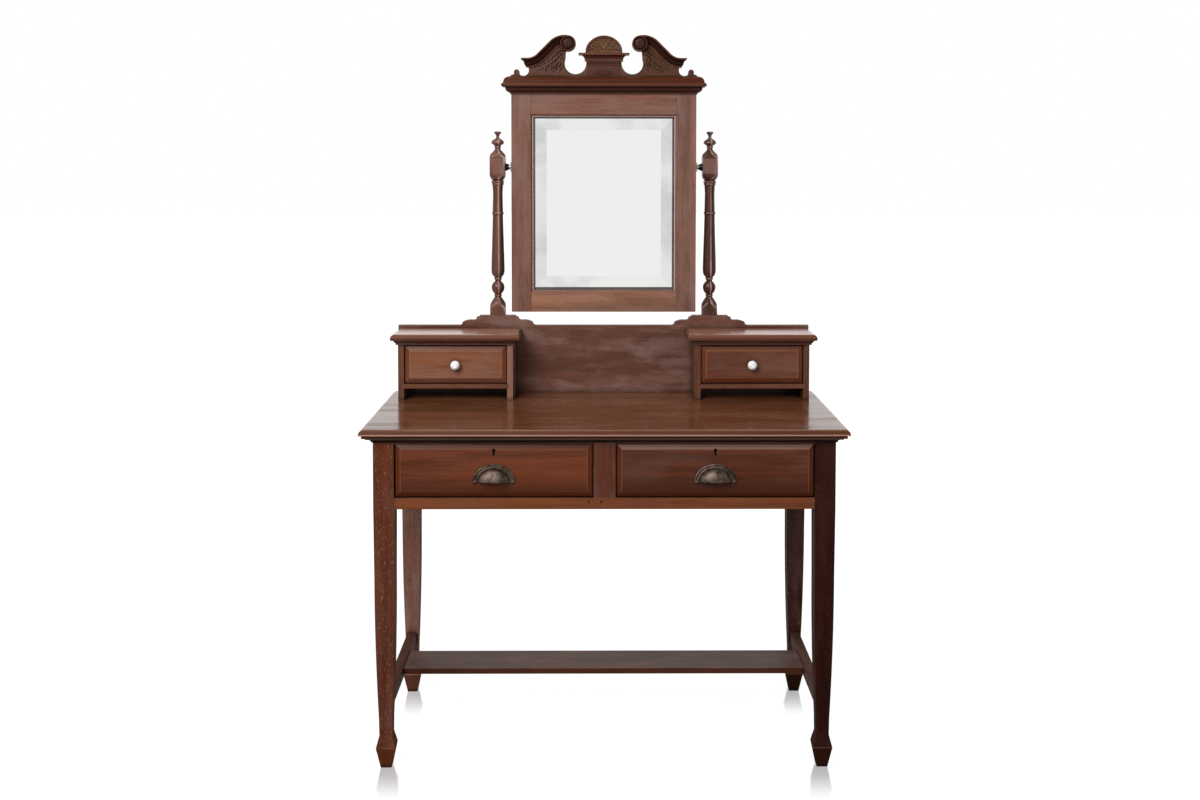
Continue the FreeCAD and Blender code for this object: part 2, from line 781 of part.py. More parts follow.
def make_small_boxes():
    """The two small drawer boxes on the tabletop, with their drawers."""
    outer_board = box(box_out - box_board, box_out, box_front, board_front, table_height, box_top_under)
    inner_board = box(box_inner_face, box_inner_face + box_board, box_front, board_front, table_height,
                      box_top_under)
    shelf = box(box_inner_face + box_board - box_housing, box_out - box_board + box_housing, box_front,
                board_front, box_shelf_under, box_opening_bottom)
    sides = [board.cut(shelf) for board in (outer_board, inner_board)]
    tip_height = box_top_thickness - box_nosing_height
    lip = tip_height - box_top_lip
    profile = [(-box_top_reach, 0), (-box_cove_reach, 0), (-box_cove_reach, box_bead_height),
               (-box_cove_reach + box_top_lip, box_bead_height),
               (-box_top_lip, box_bead_height + box_cove_height, cove_share), (0, lip),
               nosing(box_nosing_width, box_nosing_height, tip_height),
               (-box_nosing_width, box_top_thickness)]
    lid_half = box_width / 2 + box_top_reach
    lid = moulded(profile, lid_half, box_front - box_top_reach, board_front, box_top_under)
    lid.translate(Vec(box_centre, 0, 0))

    opening = box_width - 2 * box_board
    height = box_top_under - box_opening_bottom
    boards = (small_front_thickness, small_side_thickness, small_back_thickness, small_bottom_thickness,
              small_bottom_rise, small_groove, small_side_drop)
    board, drawer_sides, panel = make_drawer(
        box_centre, opening, box_opening_bottom, height, box_front + frame_setback,
        board_front - small_back_room, (small_side_gap, small_top_gap), boards,
        (small_bevel_width, small_bevel_depth), (small_lap, small_tail_count))
    middle = box_opening_bottom + (height - small_top_gap) / 2
    knob = make_knob(box_centre, box_front + frame_setback, middle)
    hole = Part.makeCylinder(knob_spigot_radius + spigot_gap, small_front_thickness + 2 * overrun,
                             Vec(box_centre, box_front - overrun, middle), Vec(0, 1, 0))
    board = board.cut(hole)
    pieces = {"box_sides": sides, "box_shelf": [shelf], "box_top": [lid], "drawer_front": [board],
              "drawer_box": drawer_sides, "drawer_bottom": [panel], "drawer_knob": [knob]}
    for name, shapes in pieces.items():
        save(f"right_small_{name}", *shapes)
        save(f"left_small_{name}", *[mirrored(shape) for shape in shapes])


# Backboard and posts

finial_shares = [
    (0, 0), (0.94, 0), (0.94, 0.05), (0.43, 0.23), (0.84, 0.44), (0.86, 0.53), (0.74, 0.58),
    (0.26, 0.75), (0.46, 0.82), (0.48, 0.93)]
baluster_shares = [
    (0, 0), (0.94, 0), (0.94, 0.014), (0.54, 0.053), (0.60, 0.072), (0.60, 0.159, -0.21), (0.49, 0.181),
    (0.80, 0.221), (0.945, 0.246), (0.945, 0.300), (0.785, 0.600), (0.755, 0.714), (0.82, 0.722),
    (0.82, 0.738), (0.71, 0.746), (0.69, 0.925), (0.88, 0.958), (0.90, 0.985), (0.97, 1)]
socket_shares = [(0, 0), (1, 0), (1, 0.35), (0.72, 1)]


def turned_block(base, height, low_turned):
    """A square block whose ends were rounded when the parts beside it were turned."""
    radius = post_size / 2
    corner = radius * math.sqrt(2) + overrun
    start = [(0, 0), (radius, 0), (corner, block_shoulder)] if low_turned else [(0, 0), (corner, 0)]
    section = start + [(corner, height - block_shoulder), (radius, height), (0, height)]
    round_part = face(section, lambda a, b: Vec(a, 0, base + b)).revolve(Vec(), Vec(0, 0, 1), 360)
    return box(-radius, radius, -radius, radius, base, base + height).common(round_part)


def make_screws():
    """Screws through each post's tail: one into the backboard and one into the rear apron."""
    heights = [table_height + backboard_height * screw_height_share,
               frieze_bottom + (top_under - frieze_bottom) * screw_height_share]
    head_back = table_back + post_proud
    screws = []
    for z in heights:
        shank = Part.makeCylinder(screw_radius, screw_length - screw_head_height,
                                  Vec(post_x, head_back - screw_length, z), Vec(0, 1, 0))
        head = Part.makeCone(screw_radius, screw_head_radius, screw_head_height,
                             Vec(post_x, head_back - screw_head_height, z), Vec(0, 1, 0))
        screws.append(joined([shank, head]))
    return screws


def shoulder_rise_outline():
    """The backboard's stepped rise beside a post, from its outer foot to the post's front."""
    flat, wide, bead = shoulder_flat_half_width, shoulder_half_width, shoulder_bead
    step = shoulder_rise - bead
    rise = [(wide, 0), (wide - bead, bead, cove_share), (flat + 2 * bead, step - bead / 2, -0.08),
            (flat + bead, step, shallow_cove_share), (flat + bead, shoulder_rise - bead / 2),
            (flat, shoulder_rise, cove_share)]
    return [(post_x + part[0], board_top + part[1]) + part[2:] for part in rise]


def run_back(parts, middle):
    """An outline's parts mirrored about an upright line at middle and run the other way."""
    corners = [(2 * middle - part[0], part[1]) for part in reversed(parts)]
    sags = [part[2:] for part in reversed(parts)]
    return corners[:1] + [corner + sag for corner, sag in zip(corners[1:], sags)]


def make_upper_part(screws):
    """The backboard, the two posts lapped over its back, the screws and the swing sockets."""
    half = top_width / 2 - backboard_inset
    rise = shoulder_rise_outline()
    outline = [(0, table_height), (half, table_height), (half, board_top)] + rise + run_back(rise, post_x)
    outline.append((0, board_top))
    board = joined(pair(face(outline, in_xz(board_front)).extrude(Vec(0, backboard_thickness, 0))))

    foot_top = shoulder_top + post_foot_block
    radius = post_size / 2
    lower = turned_block(shoulder_top, post_foot_block, False)
    baluster = turned(baluster_shares, radius, foot_top, post_block_bottom - foot_top)
    block = turned_block(post_block_bottom, post_block_height, True)
    finial = turned(finial_shares, radius, post_block_bottom + post_block_height, finial_height)
    tail = box(-radius, radius, radius - post_proud, radius, tail_bottom, shoulder_top)
    post = joined([lower, baluster, block, finial, tail])
    post.translate(Vec(post_x, post_y, 0))
    for screw in screws:
        post = post.cut(screw)
        board = board.cut(screw).cut(mirrored(screw))

    post_inner = post_x - radius
    socket = turned(socket_shares, socket_radius, 0, socket_length)
    socket.rotate(Vec(), Vec(0, 1, 0), -90)
    socket.translate(Vec(post_inner, post_y, pivot_z))
    bore = Part.makeCylinder(pivot_pin_radius + pin_gap, pivot_pin_depth + slide_gap,
                             Vec(post_inner - socket_length, post_y, pivot_z), Vec(1, 0, 0))
    save("backboard", board)
    save("right_post", post)
    save("left_post", mirrored(post))
    save("swing_sockets", *pair(socket.cut(bore)))
    save("post_screws", *[side for screw in screws for side in pair(screw)])


# Mirror

def make_mirror_frame():
    """Stiles and rails, the sight bead, the bevelled glass, the backing and the pivot plates."""
    tenon_half = tenon_thickness / 2
    rails = []
    for low, high in ((sight_top, frame_top), (frame_bottom, sight_bottom)):
        rail = box(-sight_half, sight_half, frame_front, frame_back, low, high)
        tenon = box(-sight_half - tenon_length, sight_half + tenon_length, post_y - tenon_half,
                    post_y + tenon_half, low + tenon_shoulder, high - tenon_shoulder)
        rails.append(joined([rail, tenon]))
    stile = box(sight_half, frame_half, frame_front, frame_back, frame_bottom, frame_top)
    for rail in rails:
        stile = stile.cut(rail)
    save("mirror_right_stile", stile)
    save("mirror_left_stile", mirrored(stile))
    save("mirror_top_rail", rails[0])
    save("mirror_bottom_rail", rails[1])

    # The bead is four mitred lengths with a rounded front edge.
    bead_front = frame_front + bead_setback
    section = [(0, glass_front), (0, bead_front),
               (bead_width, bead_front + bead_width / 2, bead_round_share), (bead_width, glass_front)]
    opening_w, opening_h = 2 * sight_half, sight_top - sight_bottom
    middle_z = (sight_top + sight_bottom) / 2
    strips = []
    for half_w, half_h, turn in ((sight_half, opening_h / 2, 0), (opening_h / 2, opening_w / 2, 90)):
        upright = face(section, lambda a, b: Vec(half_w - a, b, -half_h))
        strip = upright.extrude(Vec(0, 0, 2 * half_h))
        mitre = face([(half_w, -half_h), (half_w, half_h), (half_w - half_h, 0)], in_xz(frame_front))
        strip = strip.common(mitre.extrude(Vec(0, frame_thickness, 0)))
        for spin in (turn, turn + 180):
            piece = strip.copy()
            piece.rotate(Vec(0, 0, 0), Vec(0, 1, 0), spin)
            piece.translate(Vec(0, 0, middle_z))
            strips.append(piece)
    save("sight_bead", *strips)

    half_w, half_h = sight_half - glass_gap, opening_h / 2 - glass_gap
    slope = glass_thickness - glass_edge
    glass = bevelled_front(-half_w, half_w, glass_front, frame_back, middle_z - half_h, middle_z + half_h,
                           glass_bevel, slope)
    save("mirror_glass", glass)
    save("backing_board", box(-sight_half - backing_lap, sight_half + backing_lap, frame_back,
                              frame_back + backing_thickness, sight_bottom - backing_lap,
                              sight_top + backing_lap))

    plate = box(frame_half, frame_half + swing_plate_thickness, post_y - swing_plate_width / 2,
                post_y + swing_plate_width / 2, pivot_z - swing_plate_height / 2,
                pivot_z + swing_plate_height / 2)
    socket_face = post_x - post_size / 2 - socket_length
    collar = Part.makeCylinder(swing_collar_radius, socket_face - slide_gap - frame_half,
                               Vec(frame_half, post_y, pivot_z), Vec(1, 0, 0))
    pin = Part.makeCylinder(pivot_pin_radius, socket_face + pivot_pin_depth - frame_half,
                            Vec(frame_half, post_y, pivot_z), Vec(1, 0, 0))
    save("swing_plates", *pair(joined([plate, collar, pin])))


def make_cornice():
    """The cornice: fillet, ovolo, bead and a rounded crown, returned at both ends."""
    reach = cornice_reach
    bead_middle = (cornice_bead_bottom + cornice_bead_top) / 2
    bead_radius = (cornice_bead_top - cornice_bead_bottom) / 2
    profile = [(cornice_fillet_reach - reach, 0), (cornice_fillet_reach - reach, cornice_fillet_height),
               (cornice_ovolo_reach - reach, cornice_ovolo_top, round_share),
               (cornice_ovolo_reach - reach, cornice_bead_bottom),
               (-bead_radius, bead_middle, bead_radius, -90, 90),
               (-bead_radius, cornice_bead_top + cornice_fillet_reach / 2),
               (cornice_crown_reach - reach, cornice_height, round_share)]
    save("cornice", moulded(profile, frame_half + reach, frame_front - reach, frame_back, frame_top))


def scroll_section():
    """The scroll moulding's section: (down from the edge, forward from the board)."""
    return [(0, 0), (0, scroll_reach), (scroll_fillet, scroll_reach),
            (scroll_depth / 2, scroll_reach / 2, shallow_round_share),
            (scroll_depth - scroll_foot, scroll_foot, shallow_cove_share),
            (scroll_depth, scroll_foot), (scroll_depth, 0)]


def fitted(shape):
    """A piece of the pediment, brought from its pattern's size to the real frame's."""
    return shape.scaled(pediment_fit, Vec(0, frame_front, cornice_top))


rosette_shares = [(0, 0), (1, 0), (1, 0.82), (0.92, 0.96), (0.82, 0.96), (0.72, 0.66), (0.68, 0.80)]


def lunette_outline(inset, foot):
    """A flattened half-round on a short stilt, drawn in by inset and standing at foot."""
    half = lunette_half_width - inset
    rise = lunette_height - lunette_stilt - inset
    shoulder = lunette_shoulder - inset
    out, up = half - shoulder, rise - shoulder
    drop = (out ** 2 - up ** 2) / (2 * up)
    turn = math.degrees(math.atan2(drop, out))
    return [(half, foot), (out, lunette_stilt, shoulder, 0, turn),
            (0, lunette_stilt - drop, rise + drop, turn, 180 - turn),
            (-out, lunette_stilt, shoulder, 180 - turn, 180), (-half, foot)]


def make_pediment():
    """The fretted pediment board, its scroll mouldings, the plinth's cap and the lunette."""
    outline = [
        (0, 0), (pediment_half_base, 0),
        (pediment_half_base - pediment_base_run, pediment_base_rise, shallow_round_share),
        (button_place, button_rise, button_radius, *button_turns),
        (small_eye_place, small_eye_rise, small_eye_radius, small_eye_start, small_eye_end),
        (lobe_end, foot_arc_rise, foot_arc_radius, -90, -90 - slope_turn),
        (crown_arc_place, crown_arc_rise, crown_arc_radius, slope_turn, crown_turn),
        (volute_place, volute_rise, volute_radius, crown_turn, volute_end),
        (big_eye_place, big_eye_rise, big_eye_radius, *big_eye_turns),
        (plinth_half_width, plinth_height), (0, plinth_height)]
    board = face(outline, lambda a, b: Vec(a, frame_front, cornice_top + b))
    board = joined(pair(board.extrude(Vec(0, pediment_thickness, 0))))
    save("pediment_board", fitted(board))

    def place(a, b):
        """A point on the board's face, from the middle and from the cornice's top."""
        return Vec(a, frame_front, cornice_top + b)

    def swept(centre, radius, start, end, inwards):
        """The moulding turned about a point. inwards is 1 where the band lies inside the arc."""
        angle = math.radians(start)
        out = Vec(math.cos(angle), 0, math.sin(angle))
        hub = place(*centre)
        section = face(scroll_section(), lambda a, b: hub + out * (radius - inwards * a) + Vec(0, -b, 0))
        return section.revolve(hub, Vec(0, -1, 0), end - start)

    foot = swept((lobe_end, foot_arc_rise), foot_arc_radius, -90, -90 - slope_turn, -1)
    crown = swept((crown_arc_place, crown_arc_rise), crown_arc_radius, slope_turn, crown_turn, 1)
    turn = math.radians(slope_turn)
    out = Vec(math.cos(turn), 0, math.sin(turn))
    crown_start = place(crown_arc_place, crown_arc_rise) + out * crown_arc_radius
    foot_end = place(lobe_end, foot_arc_rise) - out * foot_arc_radius
    section = face(scroll_section(), lambda a, b: crown_start - out * a + Vec(0, -b, 0))
    slope = section.extrude(foot_end - crown_start)

    # The moulding returns round the lobe's outer end.
    edge = cornice_top + lobe_edge_rise
    front_run = face(scroll_section(), lambda a, b: Vec(lobe_end, frame_front - b, edge - a))
    front_run = front_run.extrude(Vec(scroll_reach, 0, 0))
    end_run = face(scroll_section(), lambda a, b: Vec(lobe_end + b, frame_front - scroll_reach, edge - a))
    end_run = end_run.extrude(Vec(0, scroll_reach + pediment_thickness, 0))
    side_run = end_run.common(box(lobe_end, lobe_end + scroll_reach, frame_front, pediment_back,
                                  edge - scroll_depth, edge))
    corner = joined([front_run.common(end_run), side_run])

    rosette = turned(rosette_shares, volute_radius, 0, rosette_reach)
    rosette.rotate(Vec(), Vec(1, 0, 0), 90)
    rosette.translate(place(volute_place, volute_rise))
    scroll = joined([foot, slope, crown, corner, rosette])
    save("scroll_mouldings", *pair(fitted(scroll)))

    cap_profile = [(cap_foot - cap_reach, 0), (-cap_lip, cap_height - cap_fillet, cove_share),
                   (0, cap_height - cap_fillet), (0, cap_height)]
    cap_base = cornice_top + plinth_height
    cap = moulded(cap_profile, cap_half_width, frame_front - cap_reach, pediment_back, cap_base)
    save("plinth_cap", fitted(cap))

    lunette_front = frame_front - cap_reach / 2 + lunette_set_back
    lunette_base = cap_base + cap_height

    def upright(parts, depth):
        """An outline on the lunette's front, worked back to a depth."""
        return face(parts, lambda a, b: Vec(a, lunette_front, lunette_base + b)).extrude(Vec(0, depth, 0))

    lunette = upright(lunette_outline(0, 0), lunette_thickness)
    recess = upright(lunette_outline(lunette_rim, lunette_rim / 2), lunette_recess)
    save("lunette", fitted(lunette.cut(recess)))


def main():
    """Build every node."""
    os.makedirs("parts", exist_ok=True)
    screws = make_screws()
    top_rail = make_table_frame(screws)
    make_tabletop()
    make_runners()
    bolt_room = make_long_drawers()
    save("top_rail", top_rail.cut(bolt_room).cut(mirrored(bolt_room)))
    make_small_boxes()
    make_upper_part(screws)
    make_mirror_frame()
    make_cornice()
    make_pediment()


main()
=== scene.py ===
"""Dressing table of old polished red-brown wood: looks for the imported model.

The table, its drawers and the swing mirror come from the frame. This script gives every piece its
finish, adds the carving, the small metalwork and the studio, and sets the camera.
The axes are the frame's own: +X right, -Y front, +Z up. Finishes and pieces give their sizes in
millimetres, and MM makes them metres. Colours are written as a screen shows them, from 0 to 255.
"""

import logging
import math
from dataclasses import dataclass, field
from enum import Enum
from typing import Callable, Iterable, Sequence

import bmesh
import bpy
from mathutils import Euler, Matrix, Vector


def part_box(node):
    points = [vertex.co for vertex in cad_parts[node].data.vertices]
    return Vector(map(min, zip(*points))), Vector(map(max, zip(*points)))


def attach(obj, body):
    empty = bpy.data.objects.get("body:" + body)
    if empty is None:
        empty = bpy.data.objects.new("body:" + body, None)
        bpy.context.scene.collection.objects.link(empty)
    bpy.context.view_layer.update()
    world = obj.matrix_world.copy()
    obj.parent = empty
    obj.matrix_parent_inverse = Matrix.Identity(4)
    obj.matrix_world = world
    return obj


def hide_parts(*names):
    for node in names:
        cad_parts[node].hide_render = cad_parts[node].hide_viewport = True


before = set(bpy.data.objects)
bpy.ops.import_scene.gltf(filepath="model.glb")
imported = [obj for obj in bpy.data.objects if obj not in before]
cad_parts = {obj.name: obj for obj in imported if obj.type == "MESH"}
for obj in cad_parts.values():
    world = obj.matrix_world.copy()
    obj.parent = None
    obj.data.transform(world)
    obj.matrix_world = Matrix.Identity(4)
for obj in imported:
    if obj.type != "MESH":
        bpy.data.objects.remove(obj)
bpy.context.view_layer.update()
PHOTO_WIDTH, PHOTO_HEIGHT = 1200, 800
MM = 0.001
SHARP_ANGLE = 38

log = logging.getLogger("dressing_table")

Colour = tuple[float, float, float]
Screen = tuple[int, int, int]
Point = tuple[float, float]
Span = tuple[float, float]


def srgb(colour: Screen, light: float = 1.0) -> Colour:
    """A screen colour as the linear colour that a shader takes.

    Args:
        colour: Red, green and blue from 0 to 255.
        light: How many times its light it gets.

    Returns:
        The linear colour.
    """
    def linear(value: int) -> float:
        """One channel made linear."""
        share = value / 255
        return share / 12.92 if share <= 0.04045 else ((share + 0.055) / 1.055) ** 2.4

    return tuple(min(linear(value) * light, 1.0) for value in colour)


# Shader graph

class Wire:
    """One output socket of a shader graph, with arithmetic that adds the nodes it needs."""

    def __init__(self, graph: "Graph", socket: bpy.types.NodeSocket) -> None:
        """Keep the graph and the socket."""
        self.graph = graph
        self.socket = socket

    def _maths(self, operation: str, *values: "Value") -> "Wire":
        """A Math node on these values."""
        return self.graph.node("ShaderNodeMath", {"operation": operation}, dict(enumerate(values)))

    def __add__(self, other: "Value") -> "Wire":
        """The sum."""
        return self._maths("ADD", self, other)

    __radd__ = __add__

    def __mul__(self, other: "Value") -> "Wire":
        """The product."""
        return self._maths("MULTIPLY", self, other)

    __rmul__ = __mul__

    def __sub__(self, other: "Value") -> "Wire":
        """The difference."""
        return self._maths("SUBTRACT", self, other)

    def __rsub__(self, other: "Value") -> "Wire":
        """The difference with this value taken away."""
        return self._maths("SUBTRACT", other, self)

    def __truediv__(self, other: "Value") -> "Wire":
        """The quotient."""
        return self._maths("DIVIDE", self, other)

    def __pow__(self, power: "Value") -> "Wire":
        """The value to a power."""
        return self._maths("POWER", self, power)

    def least(self, other: "Value") -> "Wire":
        """The smaller of two values."""
        return self._maths("MINIMUM", self, other)

    def most(self, other: "Value") -> "Wire":
        """The larger of two values."""
        return self._maths("MAXIMUM", self, other)

    def magnitude(self) -> "Wire":
        """The value without its sign."""
        return self._maths("ABSOLUTE", self)

    def ramp(self, low: float, high: float, to_low: float = 0.0, to_high: float = 1.0) -> "Wire":
        """The value mapped smoothly, so that low becomes to_low and high to_high, and held beyond them."""
        values = {"Value": self, "From Min": low, "From Max": high, "To Min": to_low, "To Max": to_high}
        return self.graph.node("ShaderNodeMapRange", {"interpolation_type": "SMOOTHSTEP"}, values)

    def from_least(self, least: float) -> "Wire":
        """A value of 0 to 1, squeezed to run from the least to 1."""
        return self * (1 - least) + least

    def within(self, low: float, high: float, blur: float) -> "Wire":
        """1 between two values and 0 outside them, with soft edges."""
        return self.ramp(low - blur, low + blur) * (1.0 - self.ramp(high - blur, high + blur))


Value = Wire | float | Colour | Vector


class Along(Enum):
    """The axis that the grain runs along."""

    X = 0
    Y = 1
    Z = 2


@dataclass(frozen=True)
class Pattern:
    """Cloudy noise, by its units in a metre along the grain and across it.

    Where it has a span, the noise at the span's ends becomes 0 and 1.
    """

    length: float
    cross: float
    detail: float
    roughness: float
    distortion: float = 0.0
    span: Span | None = None
    shift: tuple[float, float, float] = (1.7, 0.9, 2.3)

    def draw(self, graph: "Graph", along: Along = Along.X, seed: float = 0.0) -> Wire:
        """Draw the pattern on object coordinates.

        Args:
            graph: The material's graph.
            along: The axis of the grain.
            seed: A number that moves the pattern, so that no two pieces match.

        Returns:
            The noise.
        """
        scale = tuple(self.length if axis is along else self.cross for axis in Along)
        place = graph.node("ShaderNodeMapping", inputs={
            "Vector": graph.node("ShaderNodeTexCoord", output="Object"), "Scale": scale,
            "Location": tuple(seed * step for step in self.shift)})
        noise = graph.node("ShaderNodeTexNoise", inputs={
            "Vector": place, "Scale": 1.0, "Detail": self.detail, "Roughness": self.roughness,
            "Distortion": self.distortion})
        return noise.ramp(*self.span) if self.span else noise


class Graph:
    """The node tree of one material or world, emptied and ready to be filled."""

    def __init__(self, tree: bpy.types.NodeTree) -> None:
        """Keep the tree and clear it."""
        self.tree = tree
        tree.nodes.clear()

    def node(self, kind: str, settings: dict[str, object] | None = None,
             inputs: dict[str | int, "Value"] | None = None, output: str | int = 0) -> Wire:
        """Add a node.

        Args:
            kind: The node's type.
            settings: Properties that are set first.
            inputs: Values or wires for its sockets, by name or place.
            output: The output that is returned.

        Returns:
            The chosen output.
        """
        made = self.tree.nodes.new(kind)
        for name, value in (settings or {}).items():
            setattr(made, name, value)
        for key, value in (inputs or {}).items():
            socket = made.inputs[key]
            if isinstance(value, Wire):
                self.tree.links.new(value.socket, socket)
            else:
                socket.default_value = (*value, 1.0) if socket.type == "RGBA" else value
        return Wire(self, made.outputs[output])

    def axes(self, kind: str = "Object") -> tuple[Wire, Wire, Wire]:
        """The three parts of an output of the coordinates node.

        Args:
            kind: The output's name.

        Returns:
            X, Y and Z.
        """
        vector = self.node("ShaderNodeTexCoord", output=kind)
        parts = self.node("ShaderNodeSeparateXYZ", inputs={"Vector": vector}).socket.node
        return tuple(Wire(self, output) for output in parts.outputs)

    def ray(self, kind: str) -> Wire:
        """1 where the light path is of this kind."""
        return self.node("ShaderNodeLightPath", output=kind)

    def mix(self, share: "Value", first: "Value", second: "Value") -> Wire:
        """Two colours mixed, with this share of the second."""
        settings = {"data_type": "RGBA", "clamp_factor": True}
        return self.node("ShaderNodeMix", settings, {0: share, 6: first, 7: second}, output=2)

    def bump(self, height: Wire, distance: float, strength: float, normal: Wire | None = None) -> Wire:
        """A Bump node. distance is the height that 1 stands for, in millimetres."""
        values: dict[str | int, Value] = {"Height": height, "Distance": distance * MM, "Strength": strength}
        if normal is not None:
            values["Normal"] = normal
        return self.node("ShaderNodeBump", inputs=values)

    def hollow(self, reach: float, samples: int) -> Wire:
        """How closed in a place is, looked at as far as a reach in millimetres."""
        return 1.0 - self.node("ShaderNodeAmbientOcclusion", {"samples": samples}, {"Distance": reach * MM},
                               output="AO")

    def rounding(self, radius: float, samples: int = 6) -> tuple[Wire, Wire]:
        """Edges that look rounded.

        Args:
            radius: Their radius in millimetres.
            samples: How finely they are looked for.

        Returns:
            The rounded normal, and how far it leans from the true one.
        """
        rounded = self.node("ShaderNodeBevel", {"samples": samples}, {"Radius": radius * MM})
        true_normal = self.node("ShaderNodeNewGeometry", output="Normal")
        facing = self.node("ShaderNodeVectorMath", {"operation": "DOT_PRODUCT"},
                           {0: rounded, 1: true_normal}, output="Value")
        return rounded, 1.0 - facing

    def close(self, shader: Wire, kind: str = "ShaderNodeOutputMaterial") -> None:
        """Link the finished shader to the output."""
        made = self.tree.nodes.new(kind)
        self.tree.links.new(shader.socket, made.inputs["Surface"])

    def surface(self, inputs: dict[str | int, "Value"]) -> None:
        """Close the graph with one Principled shader on these inputs."""
        self.close(self.node("ShaderNodeBsdfPrincipled", inputs=inputs))


# Finishes

@dataclass(frozen=True)
class Finish:
    """What every finish shares: a name and the building of its material."""

    name: str

    def material(self) -> bpy.types.Material:
        """The material of this finish, made once.

        Returns:
            The material.
        """
        found = bpy.data.materials.get(self.name)
        if found is not None:
            return found
        made = bpy.data.materials.new(self.name)
        made.use_nodes = True
        self.fill(Graph(made.node_tree))
        return made

    def fill(self, graph: Graph) -> None:
        """Build the nodes. Each finish has its own."""
        raise NotImplementedError


# Patterns of the polished wood
BANDS = Pattern(1.4, 24, 5.0, 0.62, 0.7)
STRIPES = Pattern(3.0, 85, 3.0, 0.6, 0.4)
FIBRES = Pattern(12, 330, 3.0, 0.6)
CLOUDS = Pattern(2.2, 9, 4.0, 0.55, 0.4)
PORES = Pattern(34, 640, 2.0, 0.5, span=(0.60, 0.74))
HAZE = Pattern(5.0, 17, 6.0, 0.68, span=(0.40, 0.66))
SCUFFS = Pattern(130, 300, 6.0, 0.74, span=(0.55, 0.68))
RUBS = Pattern(38, 38, 3.0, 0.6, span=(0.35, 0.65))


@dataclass(frozen=True)
class PolishedWood(Finish):
    """Old open-grained red-brown wood under a worn polish.

    A span gives the values between which a mark, the polish or the wear comes in.
    """

    along: Along = Along.X
    tone: Screen = (104, 56, 36)
    dark_share: float = 0.36
    light_share: float = 1.55
    pore_share: float = 0.12
    bloom_colour: Screen = (140, 112, 104)
    bloom: float = 0.15
    bloom_least: float = 0.1
    streaks: float = 0.62
    streak_mix: tuple[float, float, float] = (0.45, 0.38, 0.17)
    streak_span: Span = (0.41, 0.60)
    figure: float = 0.40
    figure_span: Span = (0.48, 0.72)
    pores: float = 0.6
    scuff_colour: Screen = (162, 128, 114)
    scuffs: float = 0.0
    wear: float = 0.35
    # The pale colour of worn edges, also used for painted highlights on arrises.
    wear_and_highlight_colour: Screen = (156, 104, 74)
    wear_span: Span = (0.02, 0.20)
    # How far worn edges, and the post's painted highlight, fade where the noise is low.
    wear_and_highlight_least: float = 0.3
    edge: float = 0.8
    # How strongly hollows and creases are darkened: painted shade, with some grime.
    grime_and_shade: float = 0.75
    hollow_shade_reach: float = 18.0
    hollow_shade_span: Span = (0.12, 0.60)
    # The dark colour of painted shade and shadow, and of dark spots.
    shade_and_soil: Screen = (24, 11, 7)
    roughness: float = 0.38
    shine: float = 0.14
    coat: float = 0.05
    coat_roughness: float = 0.18
    coat_ior: float = 1.45
    dull: float = 0.0
    dull_span: Span = (0.53, 0.58)
    uneven: float = 0.12
    flat_polish: bool = False
    flat_span: Span = (0.70, 0.97)
    slope_roughness: float = 0.28
    relief: float = 0.12
    relief_mix: tuple[float, float, float] = (-0.25, 0.4, 0.9)
    relief_strength: float = 0.6
    seed: float = 0.0

    def marked(self, graph: Graph, colour: Wire) -> Wire:
        """Marks that belong to one kind of piece. Plain wood has none."""
        return colour

    def shade(self, share: float) -> Colour:
        """The tone made lighter or darker."""
        return srgb(self.tone, share)

    def fill(self, graph: Graph) -> None:
        """Build grain, streaks, pores, bloom, painted shade and grime in the hollows, worn edges and the
        polish.

        Args:
            graph: The material's graph.
        """
        bands, stripes, fibres, clouds, pores, haze, rubs = (
            pattern.draw(graph, self.along, self.seed)
            for pattern in (BANDS, STRIPES, FIBRES, CLOUDS, PORES, HAZE, RUBS))
        broad, narrow, fine = self.streak_mix
        streak = (bands * broad + stripes * narrow + fibres * fine).ramp(*self.streak_span)
        colour = graph.mix(streak * self.streaks, self.shade(1.0), self.shade(self.dark_share))
        figure = clouds.ramp(*self.figure_span) * self.figure
        colour = graph.mix(figure, colour, self.shade(self.light_share))
        colour = graph.mix(pores * self.pores, colour, self.shade(self.pore_share))
        bloom = haze.from_least(self.bloom_least) * self.bloom
        colour = graph.mix(bloom, colour, srgb(self.bloom_colour))
        if self.scuffs:
            scuffs = SCUFFS.draw(graph, self.along, self.seed)
            colour = graph.mix(scuffs * self.scuffs, colour, srgb(self.scuff_colour))
        colour = self.marked(graph, colour)
        # Painted shade: hollows and creases are darkened by how closed in they are, partly as grime.
        hollow_shade_and_dirt = graph.hollow(self.hollow_shade_reach, 5).ramp(*self.hollow_shade_span)
        colour = graph.mix(hollow_shade_and_dirt * self.grime_and_shade, colour, srgb(self.shade_and_soil))
        rounded, lean = graph.rounding(self.edge)
        worn = lean.ramp(*self.wear_span) * rubs.from_least(self.wear_and_highlight_least)
        colour = graph.mix(worn * self.wear, colour, srgb(self.wear_and_highlight_colour))

        polish = (1.0 - bands.ramp(*self.dull_span) * self.dull) * self.coat
        gloss = clouds * self.uneven + haze * self.uneven + (self.roughness - self.uneven)
        if self.flat_polish:
            flat = graph.axes("Normal")[2].ramp(*self.flat_span)
            polish = polish * flat
            gloss = gloss + (1.0 - flat) * self.slope_roughness
        sunk, raised, open_pores = self.relief_mix
        height = streak * sunk + fibres * raised - pores * open_pores
        graph.surface({"Base Color": colour, "Roughness": gloss.least(1.0),
                       "Normal": graph.bump(height, self.relief, self.relief_strength, rounded),
                       "Specular IOR Level": self.shine, "Coat Weight": polish,
                       "Coat Roughness": self.coat_roughness, "Coat IOR": self.coat_ior})


@dataclass(frozen=True)
class Band:
    """A stretch along one axis with a colour of its own."""

    low: float
    high: float
    colour: Screen
    share: float = 0.7


